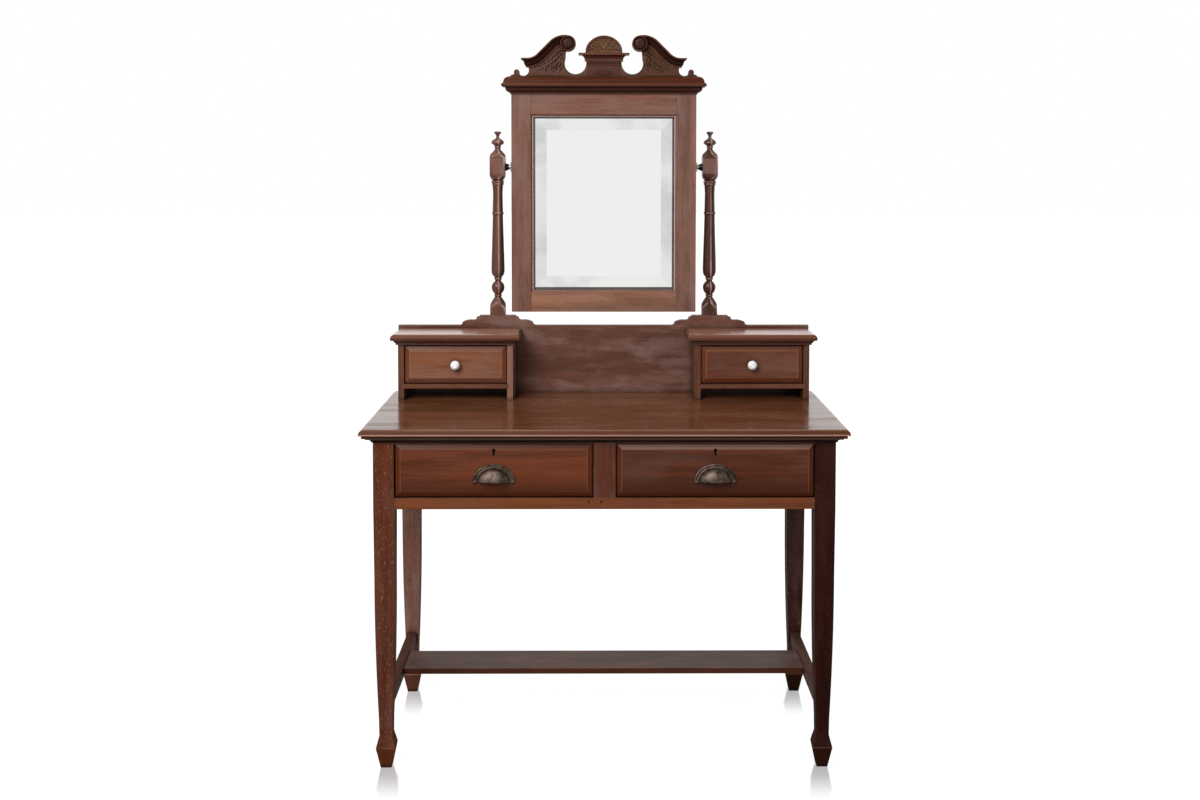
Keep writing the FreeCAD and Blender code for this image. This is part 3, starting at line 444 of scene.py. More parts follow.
@dataclass(frozen=True)
class MouldedWood(PolishedWood):
    """Polished wood of a moulding whose members are tinted by bands: some their own tone, some painted
    highlight and shade.

    Bands are measured from start, which is in metres along the axis across. Pegs are dark round spots
    on its front, as (across, height, radius).
    """

    bands: tuple[Band, ...] = ()
    start: float = 0.0
    pegs: tuple[tuple[float, float, float], ...] = ()
    across: Along = Along.Z
    blur: float = 0.7

    def marked(self, graph: Graph, colour: Wire) -> Wire:
        """Tint each member of the moulding.

        Args:
            graph: The material's graph.
            colour: The wood's colour so far.

        Returns:
            The colour with its bands.
        """
        place = graph.axes()[self.across.value]
        for band in self.bands:
            inside = place.within(self.start + band.low * MM, self.start + band.high * MM, self.blur * MM)
            colour = graph.mix(inside * band.share, colour, srgb(band.colour))
        across, _, height = graph.axes()
        for peg_across, peg_height, radius in self.pegs:
            reach = ((across - peg_across * MM) ** 2.0 + (height - peg_height * MM) ** 2.0) ** 0.5
            spot = 1.0 - reach.ramp(radius * 0.6 * MM, radius * 1.3 * MM)
            colour = graph.mix(spot * 0.8, colour, srgb(self.shade_and_soil))
        return colour


@dataclass(frozen=True)
class TurnedWood(MouldedWood):
    """Polished wood of a turned post: a painted highlight streak down its front, and painted shade at its
    sides.
    """

    bright: Screen = (184, 152, 144)
    # Painted highlight down the front and painted shade at the sides.
    highlight_share: float = 0.8
    highlight_edges: tuple[Span, Span] = ((0.02, 0.12), (0.20, 0.36))
    side_shade_share: float = 0.7
    side_shade_span: Span = (0.40, 0.90)

    def marked(self, graph: Graph, colour: Wire) -> Wire:
        """Paint a highlight streak along the front and shade on both sides.

        Args:
            graph: The material's graph.
            colour: The wood's colour so far.

        Returns:
            The colour with its painted highlight and shade.
        """
        colour = super().marked(graph, colour)
        turn = graph.axes("Normal")[0]
        near, far = self.highlight_edges
        # Painted highlight: a streak where the surface turns a little to the right.
        streak = turn.ramp(*near) * (1.0 - turn.ramp(*far))
        broken = Pattern(9, 60, 4.0, 0.6, span=(0.35, 0.6)).draw(graph, Along.Z, self.seed)
        streak = streak * broken.from_least(self.wear_and_highlight_least) * self.highlight_share
        colour = graph.mix(streak, colour, srgb(self.bright))
        # Painted shade on both sides of the post.
        return graph.mix(turn.magnitude().ramp(*self.side_shade_span) * self.side_shade_share, colour, srgb(self.shade_and_soil))


def middle(node: str, axis: int) -> float:
    """The middle of a CAD node's box along one axis, in metres."""
    low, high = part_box(node)
    return (low[axis] + high[axis]) / 2


def half(node: str, axis: int) -> float:
    """Half the length of a CAD node's box along one axis, in metres."""
    low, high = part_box(node)
    return (high[axis] - low[axis]) / 2


@dataclass(frozen=True)
class PanelWood(PolishedWood):
    """Polished wood of a drawer front with a bevel worked round its face, and light and shade painted on it.
    """

    node: str = ""
    bevel: float = 12.0
    bevel_share: float = 0.72
    # Lit and shaded tones of the bevel's slopes: painted light and shade.
    side_slope_light_tone: Screen = (80, 34, 14)
    shaded_low_slope_tone: Screen = (72, 31, 13)
    lit_top_slope_tone: Screen = (84, 47, 32)
    # Painted highlight along the arris: its strength and its reach.
    arris_highlight: float = 0.30
    highlight_line: Span = (0.3, 1.1)
    # Painted shade towards the bottom of the front: its share.
    low_shade_share: float = 0.85
    # Painted shadow in the gap round the front: its strength and its reach.
    gap_shadow: float = 0.7
    gap_shadow_start: float = 0.3
    gap_shadow_reach: float = 1.6
    soft: float = 0.35

    def marked(self, graph: Graph, colour: Wire) -> Wire:
        """Paint light and shade on the four slopes, a highlight on the arris, a shadow in the gap at the very
        edge and shade towards the bottom.

        Args:
            graph: The material's graph.
            colour: The wood's colour so far.

        Returns:
            The colour with its bevel.
        """
        half_height = half(self.node, 2)
        soft, bevel = self.soft * MM, self.bevel * MM
        across, _, height = graph.axes()
        up = height - middle(self.node, 2)
        from_side = half(self.node, 0) - (across - middle(self.node, 0)).magnitude()
        from_end = half_height - up.magnitude()
        inset = from_side.least(from_end)
        # Painted shade: the front darkens towards its bottom.
        painted_low_shade = up.ramp(-half_height, half_height * 0.2, 1.0, 0.0)
        colour = graph.mix(painted_low_shade * self.low_shade_share, colour, self.shade(self.dark_share))
        # Painted light and shade: the upper slope lit, the sides and the lower slope shaded.
        slope = 1.0 - inset.ramp(bevel - soft, bevel + soft)
        at_end = (from_side - from_end).ramp(-soft, soft)
        above = up.ramp(-soft, soft)
        tint = graph.mix(above, srgb(self.shaded_low_slope_tone), srgb(self.lit_top_slope_tone))
        tint = graph.mix(at_end, srgb(self.side_slope_light_tone), tint)
        colour = graph.mix(slope * self.bevel_share, colour, tint)
        # Painted highlight along the arris in the pale wear colour, strongest on the sides and weakest at the
        # bottom.
        highlight_line = 1.0 - (inset - bevel).magnitude().ramp(*(edge * MM for edge in self.highlight_line))
        lit = at_end * above * 0.4 + (1.0 - at_end) * 0.8 + 0.2
        colour = graph.mix(highlight_line * self.arris_highlight * lit, colour, srgb(self.wear_and_highlight_colour))
        # Painted shadow of the gap at the front's very edge.
        gap_shadow_mask = 1.0 - inset.ramp(self.gap_shadow_start * MM, self.gap_shadow_reach * MM)
        return graph.mix(gap_shadow_mask * self.gap_shadow, colour, srgb(self.shade_and_soil))


@dataclass(frozen=True)
class BareWood(Finish):
    """Dry unpolished wood of linings, runners and backing."""

    along: Along = Along.X
    tone: Screen = (170, 128, 88)
    dark: Screen = (112, 76, 48)
    stain: Screen = (84, 58, 40)
    stain_share: float = 0.45

    def fill(self, graph: Graph) -> None:
        """Build pale grain with a dry surface.

        Args:
            graph: The material's graph.
        """
        bands = Pattern(2, 34, 5.0, 0.6, 0.8).draw(graph, self.along)
        fibres = Pattern(12, 380, 3.0, 0.6).draw(graph, self.along)
        stains = Pattern(5, 5, 5.0, 0.65, span=(0.5, 0.8)).draw(graph)
        colour = graph.mix((bands * 0.7 + fibres * 0.3).ramp(0.35, 0.68), srgb(self.tone), srgb(self.dark))
        colour = graph.mix(stains * self.stain_share, colour, srgb(self.stain))
        graph.surface({"Base Color": colour, "Roughness": fibres * 0.15 + 0.62,
                       "Normal": graph.bump(fibres + bands, 0.15, 0.6)})


@dataclass(frozen=True)
class OldMetal(Finish):
    """Cast or rolled metal, dark in its hollows and bright where hands rub it."""

    tone: Screen = (112, 98, 84)
    dark: Screen = (44, 35, 28)
    bright: Screen = (168, 154, 136)
    roughness: float = 0.34
    bumps: float = 0.5
    bump_height: float = 0.06
    hollow_reach: float = 8.0
    rub_radius: float = 1.2

    def fill(self, graph: Graph) -> None:
        """Build patina, rubbed edges and a slightly uneven skin.

        Args:
            graph: The material's graph.
        """
        patches = Pattern(60, 60, 5.0, 0.65).draw(graph)
        fine = Pattern(420, 420, 3.0, 0.6).draw(graph)
        colour = graph.mix(patches.ramp(0.35, 0.7), srgb(self.tone), srgb(self.dark))
        hollow = graph.hollow(self.hollow_reach, 6).ramp(0.25, 0.8)
        colour = graph.mix(hollow * 0.9, colour, srgb(self.dark))
        rounded, lean = graph.rounding(self.rub_radius)
        colour = graph.mix(lean.ramp(0.02, 0.25) * (patches * 0.6 + 0.3), colour, srgb(self.bright))
        graph.surface({"Base Color": colour, "Metallic": 1.0,
                       "Roughness": fine * 0.14 + (self.roughness - 0.05),
                       "Normal": graph.bump(fine + patches, self.bump_height, self.bumps, rounded)})


@dataclass(frozen=True)
class GlazedCeramic(Finish):
    """White glazed ceramic of a small knob, with a faint worn ring on its face."""

    node: str = ""
    glaze: Screen = (244, 244, 241)
    worn: Screen = (176, 172, 158)
    ring: float = 5.2
    ring_edge: Span = (0.3, 1.3)
    ring_share: float = 0.30
    grime_share: float = 0.12
    roughness: float = 0.08
    coat: float = 0.5
    coat_roughness: float = 0.04

    def fill(self, graph: Graph) -> None:
        """Build a clean white glaze with faint grime.

        Args:
            graph: The material's graph.
        """
        across, _, height = graph.axes()
        reach = ((across - middle(self.node, 0)) ** 2.0 + (height - middle(self.node, 2)) ** 2.0) ** 0.5
        circle = 1.0 - (reach - self.ring * MM).magnitude().ramp(*(edge * MM for edge in self.ring_edge))
        grime_and_shade = Pattern(150, 150, 4.0, 0.6, span=(0.5, 0.8)).draw(graph)
        worn = grime_and_shade * self.grime_share + circle * self.ring_share
        colour = graph.mix(worn, srgb(self.glaze), srgb(self.worn))
        graph.surface({"Base Color": colour, "Roughness": grime_and_shade * 0.1 + self.roughness,
                       "Coat Weight": self.coat, "Coat Roughness": self.coat_roughness})


@dataclass(frozen=True)
class SilveredGlass(Finish):
    """Old silvered glass with a wide bevel."""

    tone: Screen = (238, 238, 237)
    spot: Screen = (196, 192, 184)
    bevel_grey_reflection: Screen = (214, 216, 217)
    bevel_white_reflection: Screen = (250, 250, 247)
    bevel_tilt: Span = (0.0002, 0.0008)
    spot_share: float = 0.25
    grey_reflection_share: float = 0.7
    white_reflection_share: float = 0.5
    roughness: float = 0.02

    def fill(self, graph: Graph) -> None:
        """Build a bright mirror with faint foxing, and painted grey and white reflections on its bevel.

        Args:
            graph: The material's graph.
        """
        foxing = Pattern(24, 24, 6.0, 0.7, span=(0.66, 0.85)).draw(graph)
        patches = Pattern(7, 7, 3.0, 0.5, span=(0.42, 0.60)).draw(graph, seed=3.0)
        slope = (1.0 - graph.axes("Normal")[1].magnitude()).ramp(*self.bevel_tilt)
        colour = graph.mix(foxing * self.spot_share, srgb(self.tone), srgb(self.spot))
        # Painted reflection: grey and white patches on the bevel.
        colour = graph.mix(slope * patches * self.grey_reflection_share, colour, srgb(self.bevel_grey_reflection))
        colour = graph.mix(slope * (1.0 - patches) * self.white_reflection_share, colour, srgb(self.bevel_white_reflection))
        graph.surface({"Base Color": colour, "Metallic": 1.0, "Roughness": foxing * 0.12 + self.roughness})


def dress(finish: Finish, *nodes: str) -> None:
    """Give CAD nodes a finish.

    Args:
        finish: The finish.
        nodes: The nodes' names.
    """
    for name in nodes:
        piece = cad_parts[name]
        piece.data.materials.clear()
        piece.data.materials.append(finish.material())
        log.info("%s: %s", name, finish.name)


def both(name: str) -> tuple[str, str]:
    """The right and the left node of a name."""
    return f"right_{name}", f"left_{name}"


# Meshes

def around(verts: Iterable[bmesh.types.BMVert], kind: str) -> list:
    """What touches these vertices: their link_faces or their link_edges, each once."""
    return list({item for vert in verts for item in getattr(vert, kind)})


def only(kind: type, items: Iterable) -> list:
    """The items of one kind."""
    return [item for item in items if isinstance(item, kind)]


def halve(shape: bmesh.types.BMesh, verts: Sequence[bmesh.types.BMVert], normal: Vector,
          keep_inner: bool = True) -> dict[str, list]:
    """Cut what these vertices hold with a plane through the middle, and drop one side.

    Args:
        shape: The shape that holds them.
        verts: The vertices.
        normal: The plane's normal, which points to its outer side.
        keep_inner: Whether the inner side is kept.

    Returns:
        What the operator gives back.
    """
    geom = list(verts) + around(verts, "link_edges") + around(verts, "link_faces")
    return bmesh.ops.bisect_plane(shape, geom=geom, plane_co=(0, 0, 0), plane_no=normal,
                                  clear_inner=not keep_inner, clear_outer=keep_inner)


def put_in_scene(name: str, data: bpy.types.ID) -> bpy.types.Object:
    """A new object in the scene.

    Args:
        name: Its name.
        data: Its mesh, lamp or camera.

    Returns:
        The object.
    """
    made = bpy.data.objects.new(name, data)
    bpy.context.scene.collection.objects.link(made)
    return made


def add_piece(name: str, shape: bmesh.types.BMesh, finish: Finish, body: str,
              replaces: Sequence[str] = ()) -> None:
    """Turn a shape into a piece that rides on a body.

    Args:
        name: The piece's name.
        shape: Its shape, in place. It is freed.
        finish: Its finish.
        body: The body that carries it.
        replaces: CAD nodes that it stands for.
    """
    bmesh.ops.recalc_face_normals(shape, faces=shape.faces)
    for face in shape.faces:
        face.smooth = True
    mesh = bpy.data.meshes.new(name)
    shape.to_mesh(mesh)
    shape.free()
    mesh.set_sharp_from_angle(angle=math.radians(SHARP_ANGLE))
    piece = put_in_scene(name, mesh)
    mesh.materials.append(finish.material())
    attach(piece, body)
    if replaces:
        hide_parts(*replaces)
    log.info("%s: %d faces on %s", name, len(mesh.polygons), body)


# Carving

Spine = Callable[[float], Point]
Blades = tuple[tuple[Point | float, ...], ...]


def bezier(*points: Point) -> Spine:
    """A curve on a face, drawn by its control points.

    Args:
        points: The control points, (across, up).

    Returns:
        The curve, from 0 at its root to 1 at its tip.
    """
    def at(share: float) -> Point:
        """The point at a share of the curve."""
        row = [Vector(point) for point in points]
        while len(row) > 1:
            row = [first.lerp(second, share) for first, second in zip(row, row[1:])]
        return tuple(row[0])

    return at


def spiral(centre: Point, radii: Span, angles: Span) -> Spine:
    """A curve that turns about a centre while its radius changes.

    Args:
        centre: The centre, (across, up).
        radii: The radius at the root and at the tip.
        angles: The angle at the root and at the tip, in degrees.

    Returns:
        The curve, from 0 at its root to 1 at its tip.
    """
    def at(share: float) -> Point:
        """The point at a share of the curve."""
        angle = math.radians(angles[0] + (angles[1] - angles[0]) * share)
        reach = radii[0] + (radii[1] - radii[0]) * share
        return centre[0] + reach * math.cos(angle), centre[1] + reach * math.sin(angle)

    return at


@dataclass(frozen=True)
class Face:
    """A face that takes carving.

    depth gives its place along Y at (across, up), and origin is the X and Z of (0, 0). side is 1 as
    drawn, or -1 for the mirror image.
    """

    depth: Callable[[float, float], float]
    origin: Point
    side: int = 1


@dataclass(frozen=True)
class Cut:
    """One leaf, stem or bead of carving."""

    spine: Spine
    width: float
    relief: float
    vein: float = 0.35
    even: bool = False
    steps: int = 14
    rows: int = 6
    root_depth: float = 1.5
    edge_depth: float = 0.3

    def carve(self, shape: bmesh.types.BMesh, face: Face) -> None:
        """Add this cut to a shape as a closed crowned blade with its back in the ground.

        Args:
            shape: The shape that takes it.
            face: The carved face.
        """
        grid = bmesh.ops.create_grid(shape, x_segments=self.steps, y_segments=self.rows, size=0.5)["verts"]
        faces = around(grid, "link_faces")
        for vert in grid:
            vert.co = self._front(vert.co.x + 0.5, vert.co.y * 2, face)
        made = bmesh.ops.extrude_face_region(shape, geom=faces, use_keep_orig=True)["geom"]
        for vert in only(bmesh.types.BMVert, made):
            across = (vert.co.x / MM - face.origin[0]) * face.side
            up = vert.co.z / MM - face.origin[1]
            vert.co.y = (face.depth(across, up) + self.root_depth) * MM

    def _front(self, along: float, aside: float, face: Face) -> Vector:
        """A point of the blade's front.

        Args:
            along: From 0 at the root to 1 at the tip.
            aside: From -1 at one edge to 1 at the other.
            face: The carved face.

        Returns:
            The point in metres.
        """
        here, before, after = (Vector(self.spine(min(max(along + step, 0.0), 1.0)))
                               for step in (0.0, -0.02, 0.02))
        run = (after - before).normalized()
        swell = 1.0 if self.even else max(math.sin(math.pi * along ** 0.75) ** 0.8, 0.5 * (1 - along))
        out = Vector((-run.y, run.x)) * (self.width / 2 * swell * aside)
        across, up = here + out
        ends = 1.0 if self.even else min(1.0, (1 - along) * 4) ** 0.5 * min(1.0, 0.4 + along * 3)
        crown = self.relief * ends * (1 - aside ** 2) ** 0.6
        crown -= self.relief * self.vein * ends * math.exp(-(aside / 0.22) ** 2)
        depth = face.depth(across, up) - crown + self.edge_depth
        place = Vector((face.origin[0] + across * face.side, 0, face.origin[1] + up)) * MM
        return place + Vector((0, depth * MM, 0))


def blades(rows: Iterable[Sequence], side: int = 1, **form: float) -> list[Cut]:
    """Cuts along curves.

    Args:
        rows: The control points of each curve, then its width and its relief.
        side: 1 as drawn, or -1 for the mirror image.
        form: What else all of them share.

    Returns:
        The cuts.
    """
    return [Cut(bezier(*((across * side, up) for across, up in points)), width, relief, **form)
            for *points, width, relief in rows]


def carving(name: str, cuts: Sequence[Cut], face: Face, finish: Finish, body: str = "mirror") -> None:
    """Carve a group of cuts as one piece.

    Args:
        name: The piece's name.
        cuts: The cuts.
        face: The carved face.
        finish: The finish.
        body: The body that carries it.
    """
    shape = bmesh.new()
    for cut in cuts:
        cut.carve(shape, face)
    add_piece(name, shape, finish, body)


# Studio

@dataclass
class Camera:
    """The camera at the photograph's place, in metres and radians."""

    focal_pixels: float = 1288.65
    centre: Point = (606.23, 220.9)
    location: tuple[float, float, float] = (-0.01758, -3.01944, 1.34594)
    turn: tuple[float, float, float] = (math.pi / 2 - 0.04661, -0.00103, -0.00728)
    sensor: float = 36.0

    def build(self) -> None:
        """Make the camera and use it."""
        data = bpy.data.cameras.new("camera")
        data.sensor_fit = "HORIZONTAL"
        data.sensor_width = self.sensor
        data.lens = self.focal_pixels / PHOTO_WIDTH * self.sensor
        data.shift_x = (PHOTO_WIDTH / 2 - self.centre[0]) / PHOTO_WIDTH
        data.shift_y = (self.centre[1] - PHOTO_HEIGHT / 2) / PHOTO_WIDTH
        camera = put_in_scene("camera", data)
        camera.location = self.location
        camera.rotation_euler = Euler(self.turn, "XYZ")
        bpy.context.scene.camera = camera


@dataclass
class Lamp:
    """One soft rectangular lamp that looks at a point. Places and sizes are metres."""

    name: str
    place: tuple[float, float, float]
    target: tuple[float, float, float]
    size: Point
    power: float

    def build(self) -> None:
        """Make the lamp."""
        data = bpy.data.lights.new(self.name, "AREA")
        data.shape = "RECTANGLE"
        data.size, data.size_y = self.size
        data.energy = self.power
        lamp = put_in_scene(self.name, data)
        lamp.location = self.place
        away = Vector(self.target) - Vector(self.place)
        lamp.rotation_euler = away.to_track_quat("-Z", "Y").to_euler()


@dataclass
class Studio:
    """A white studio: an even world, a white floor that mirrors faintly, and soft lamps.

    Lengths on the floor are metres. Polish and glass see a room whose front is dimmer away from its
    middle: by side_dim or height_dim past the near span, and by dim_share past the far one. Each foot's
    spans give its mirror image's near end, its far end and its inner side.
    """

    world_light: float = 0.15
    dim_share: float = 0.6
    dimmest: float = 0.06
    front_span: Span = (0.0, 0.5)
    near_span: Span = (0.05, 0.20)
    far_span: Span = (0.22, 0.34)
    side_dim: float = 0.15
    height_dim: float = 0.10
    floor_half: float = 30.0
    floor_white: float = 1.16
    floor_grey: float = 0.5
    floor_roughness: float = 0.10
    floor_least: float = 0.85
    floor_reach: Span = (0.5, 2.2)
    floor_far_span: Span = (0.24, 0.36)
    floor_fade: tuple[float, float, float, float] = (-8.0, -4.0, 1.0, 0.92)
    floor_dark: Span = (-2.9, -2.4)
    floor_dark_share: float = 0.8
    floor_behind: Span = (-0.6, 0.8)
    sight_slope: float = 0.17
    front_feet: tuple[Span, Span, Span] = ((-0.385, -0.225), (-0.215, -0.185), (0.492, 0.499))
    rear_feet: tuple[Span, Span, Span] = ((0.03, 0.19), (0.23, 0.33), (0.412, 0.424))
    feet_side: Span = (0.54, 0.62)
    feet_share: float = 0.54
    mirror_depth: float = 0.24
    lamps: list[Lamp] = field(default_factory=lambda: [
        Lamp("key_lamp", (-1.7, -2.9, 3.1), (0, 0, 0.9), (2.2, 2.2), 185.0),
        Lamp("fill_lamp", (2.2, -3.2, 1.8), (0, 0, 0.8), (1.6, 1.6), 26.0),
        Lamp("top_lamp", (-0.5, 0.3, 3.6), (0, 0, 0.7), (1.4, 1.0), 10.0)])

    def build(self) -> None:
        """Make world, floor and lamps."""
        self._world()
        self._floor()
        for lamp in self.lamps:
            lamp.build()
        bpy.context.scene.view_settings.view_transform = "Standard"

    def _world(self) -> None:
        """White to the camera, and a pale room with a dimmer front to polish and glass."""
        world = bpy.data.worlds.new("studio")
        bpy.context.scene.world = world
        world.use_nodes = True
        graph = Graph(world.node_tree)
        seen, shiny = graph.ray("Is Camera Ray"), graph.ray("Is Glossy Ray")
        across, depth, height = graph.axes("Generated")
        front = (depth * -1.0).ramp(*self.front_span)
        wall: Wire | float = 1.0
        for away, near_dim in ((across.magnitude(), self.side_dim), (height, self.height_dim)):
            wall = wall - away.ramp(*self.near_span) * near_dim - away.ramp(*self.far_span) * self.dim_share
        glow = front * wall.most(self.dimmest) + (1.0 - front)
        even = (1.0 - shiny) * self.world_light + shiny * glow
        shader = graph.node("ShaderNodeBackground", inputs={"Color": (1, 1, 1), "Strength": seen.most(even)})
        graph.close(shader, "ShaderNodeOutputWorld")

    def _floor(self) -> None:
        """A wide white floor that shows the feet faintly."""
        shape = bmesh.new()
        bmesh.ops.create_grid(shape, x_segments=1, y_segments=1, size=self.floor_half)
        mesh = bpy.data.meshes.new("floor")
        shape.to_mesh(mesh)
        shape.free()
        floor = put_in_scene("floor", mesh)
        material = bpy.data.materials.new("white_floor")
        material.use_nodes = True
        graph = Graph(material.node_tree)
        seen, shiny = graph.ray("Is Camera Ray"), graph.ray("Is Glossy Ray")
        across, depth, _ = graph.axes()
        across = across.magnitude()
        plain = graph.node("ShaderNodeBsdfDiffuse", inputs={"Color": (self.floor_grey,) * 3})
        white = graph.node("ShaderNodeEmission", inputs={"Color": (1, 1, 1), "Strength": self.floor_white})
        mirror = graph.node("ShaderNodeBsdfGlossy", inputs={"Color": (1, 1, 1),
                                                            "Roughness": self.floor_roughness})
        far = (across * across + depth * depth).ramp(*self.floor_reach)
        base = self._blend(graph, seen * far.from_least(self.floor_least), plain, white)
        sight = across - depth * self.sight_slope
        feet = [depth.ramp(*near) * (1.0 - depth.ramp(*past)) * sight.ramp(*inner)
                for near, past, inner in (self.front_feet, self.rear_feet)]
        near_foot = (1.0 - across.ramp(*self.feet_side)) * (feet[0] + feet[1])
        base = self._blend(graph, seen * near_foot * self.feet_share, base, mirror)
        turn = across / (self.mirror_depth - depth).most(0.1)
        near = depth.ramp(*self.floor_fade) - depth.ramp(*self.floor_dark) * self.floor_dark_share
        near = near - turn.ramp(*self.near_span) * self.side_dim
        near = near - turn.ramp(*self.floor_far_span) * self.dim_share
        behind = depth.ramp(*self.floor_behind)
        glow = near.most(self.dimmest) * (1.0 - behind) + behind
        dim = graph.node("ShaderNodeEmission", inputs={"Color": (1, 1, 1), "Strength": glow})
        graph.close(self._blend(graph, shiny, base, dim))
        mesh.materials.append(material)

    @staticmethod
    def _blend(graph: Graph, share: Wire, first: Wire, second: Wire) -> Wire:
        """Two shaders mixed by a share."""
        return graph.node("ShaderNodeMixShader", inputs={0: share, 1: first, 2: second})


# Table

@dataclass
class TableFrame:
    """Legs, rails, top, stretchers and what lies inside.

    A leg has a tone, its foot's tone, bloom, scuffs and a seed. The right-hand legs and feet are darker as
    painted shade.
    """

    legs: tuple[tuple[str, Screen, Screen, float, float, float], ...] = (
        # The right-hand legs and feet get darker tones: painted shade.
        ("front_left", (89, 44, 25), (84, 39, 16), 0.10, 0.45, 1.0),
        ("front_right", (46, 16, 8), (44, 19, 9), 0.03, 0.08, 3.0),
        ("rear_left", (105, 69, 58), (84, 39, 16), 0.45, 0.55, 5.0),
        ("rear_right", (64, 34, 23), (44, 19, 9), 0.2, 0.4, 7.0))
    foot_span: Span = (-1.0, 45.6)
    # Painted highlight on the spade foot's widest line.
    foot_highlight: Band = Band(46, 47.6, (132, 88, 70), 0.5)
    rail_pegs: tuple[tuple[float, float, float], ...] = ((-35.4, 598.5, 3.0), (-7.2, 599, 3.2))
    # Painted highlights and shade on the tabletop's nosing, and painted shade under it.
    nosing_light_and_shade: tuple[Band, ...] = (
        Band(-12.5, -0.8, (66, 30, 14), 0.75), Band(-2.2, -1, (146, 98, 72), 0.35),
        Band(-12.5, -9.6, (168, 126, 110), 0.85), Band(-20, -13, (54, 28, 20), 0.7))
    # Painted shadow under the bed moulding, and a painted highlight on its top lip.
    bed_shadow: Band = Band(-1, 10.5, (20, 9, 6), 0.85)
    bed_lip_highlight: float = 4.5
    shelf_edge: tuple[Band, ...] = (Band(-14, -1.2, (66, 27, 8), 0.85),)
    inside: tuple[str, ...] = ("drawer_runners", "drawer_kickers", "drawer_stops")

    def build(self) -> None:
        """Dress the table's nodes."""
        for place, tone, foot_tone, bloom, scuffs, seed in self.legs:
            spade = (Band(*self.foot_span, foot_tone, 0.8), self.foot_highlight)
            dress(MouldedWood(f"leg_{place}", along=Along.Z, tone=tone, bloom=bloom, scuffs=scuffs, seed=seed,
                              roughness=0.68, shine=0.05, coat=0.0, bands=spade), f"{place}_leg")
        dress(MouldedWood("rail_wood", tone=(112, 60, 32), bloom=0.05, wear=0.5, figure=0.6,
                          pegs=self.rail_pegs), "bottom_rail", "top_rail")
        dress(PolishedWood("stile_wood", along=Along.Z, tone=(86, 42, 25), bloom=0.2, seed=2.0),
              "centre_stile")
        dress(PolishedWood("apron_wood", along=Along.Y, tone=(98, 52, 34), seed=4.0), "side_aprons")
        dress(PolishedWood("back_wood", tone=(84, 54, 42), bloom=0.3, roughness=0.55, coat=0.0, seed=6.0),
              "rear_apron")
        dress(MouldedWood("top_wood", tone=(107, 61, 32), roughness=0.26, coat=0.64, coat_roughness=0.10,
                          dull=0.6, flat_polish=True, seed=8.0, start=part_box("tabletop")[1][2],
                          bands=self.nosing_light_and_shade), "tabletop")
        low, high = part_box("bed_moulding")
        rise = (high[2] - low[2]) / MM
        lip_highlight = Band(rise - self.bed_lip_highlight, rise, (130, 100, 92), 0.6)
        dress(MouldedWood("bed_wood", tone=(72, 36, 24), seed=9.0, start=low[2], bands=(self.bed_shadow, lip_highlight)),
              "bed_moulding")
        dress(PolishedWood("stretcher_wood", along=Along.Y, tone=(78, 45, 34), bloom=0.22, shine=0.05,
                           coat=0.0, roughness=0.68, seed=10.0), "side_stretchers")
        dress(MouldedWood("shelf_wood", tone=(64, 39, 29), bloom=0.34, roughness=0.50, coat=0.03, figure=0.8,
                          streaks=0.8, seed=11.0, start=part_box("stretcher_shelf")[1][2],
                          bands=self.shelf_edge), "stretcher_shelf")
        dress(BareWood("runner_wood", along=Along.Y), *self.inside)


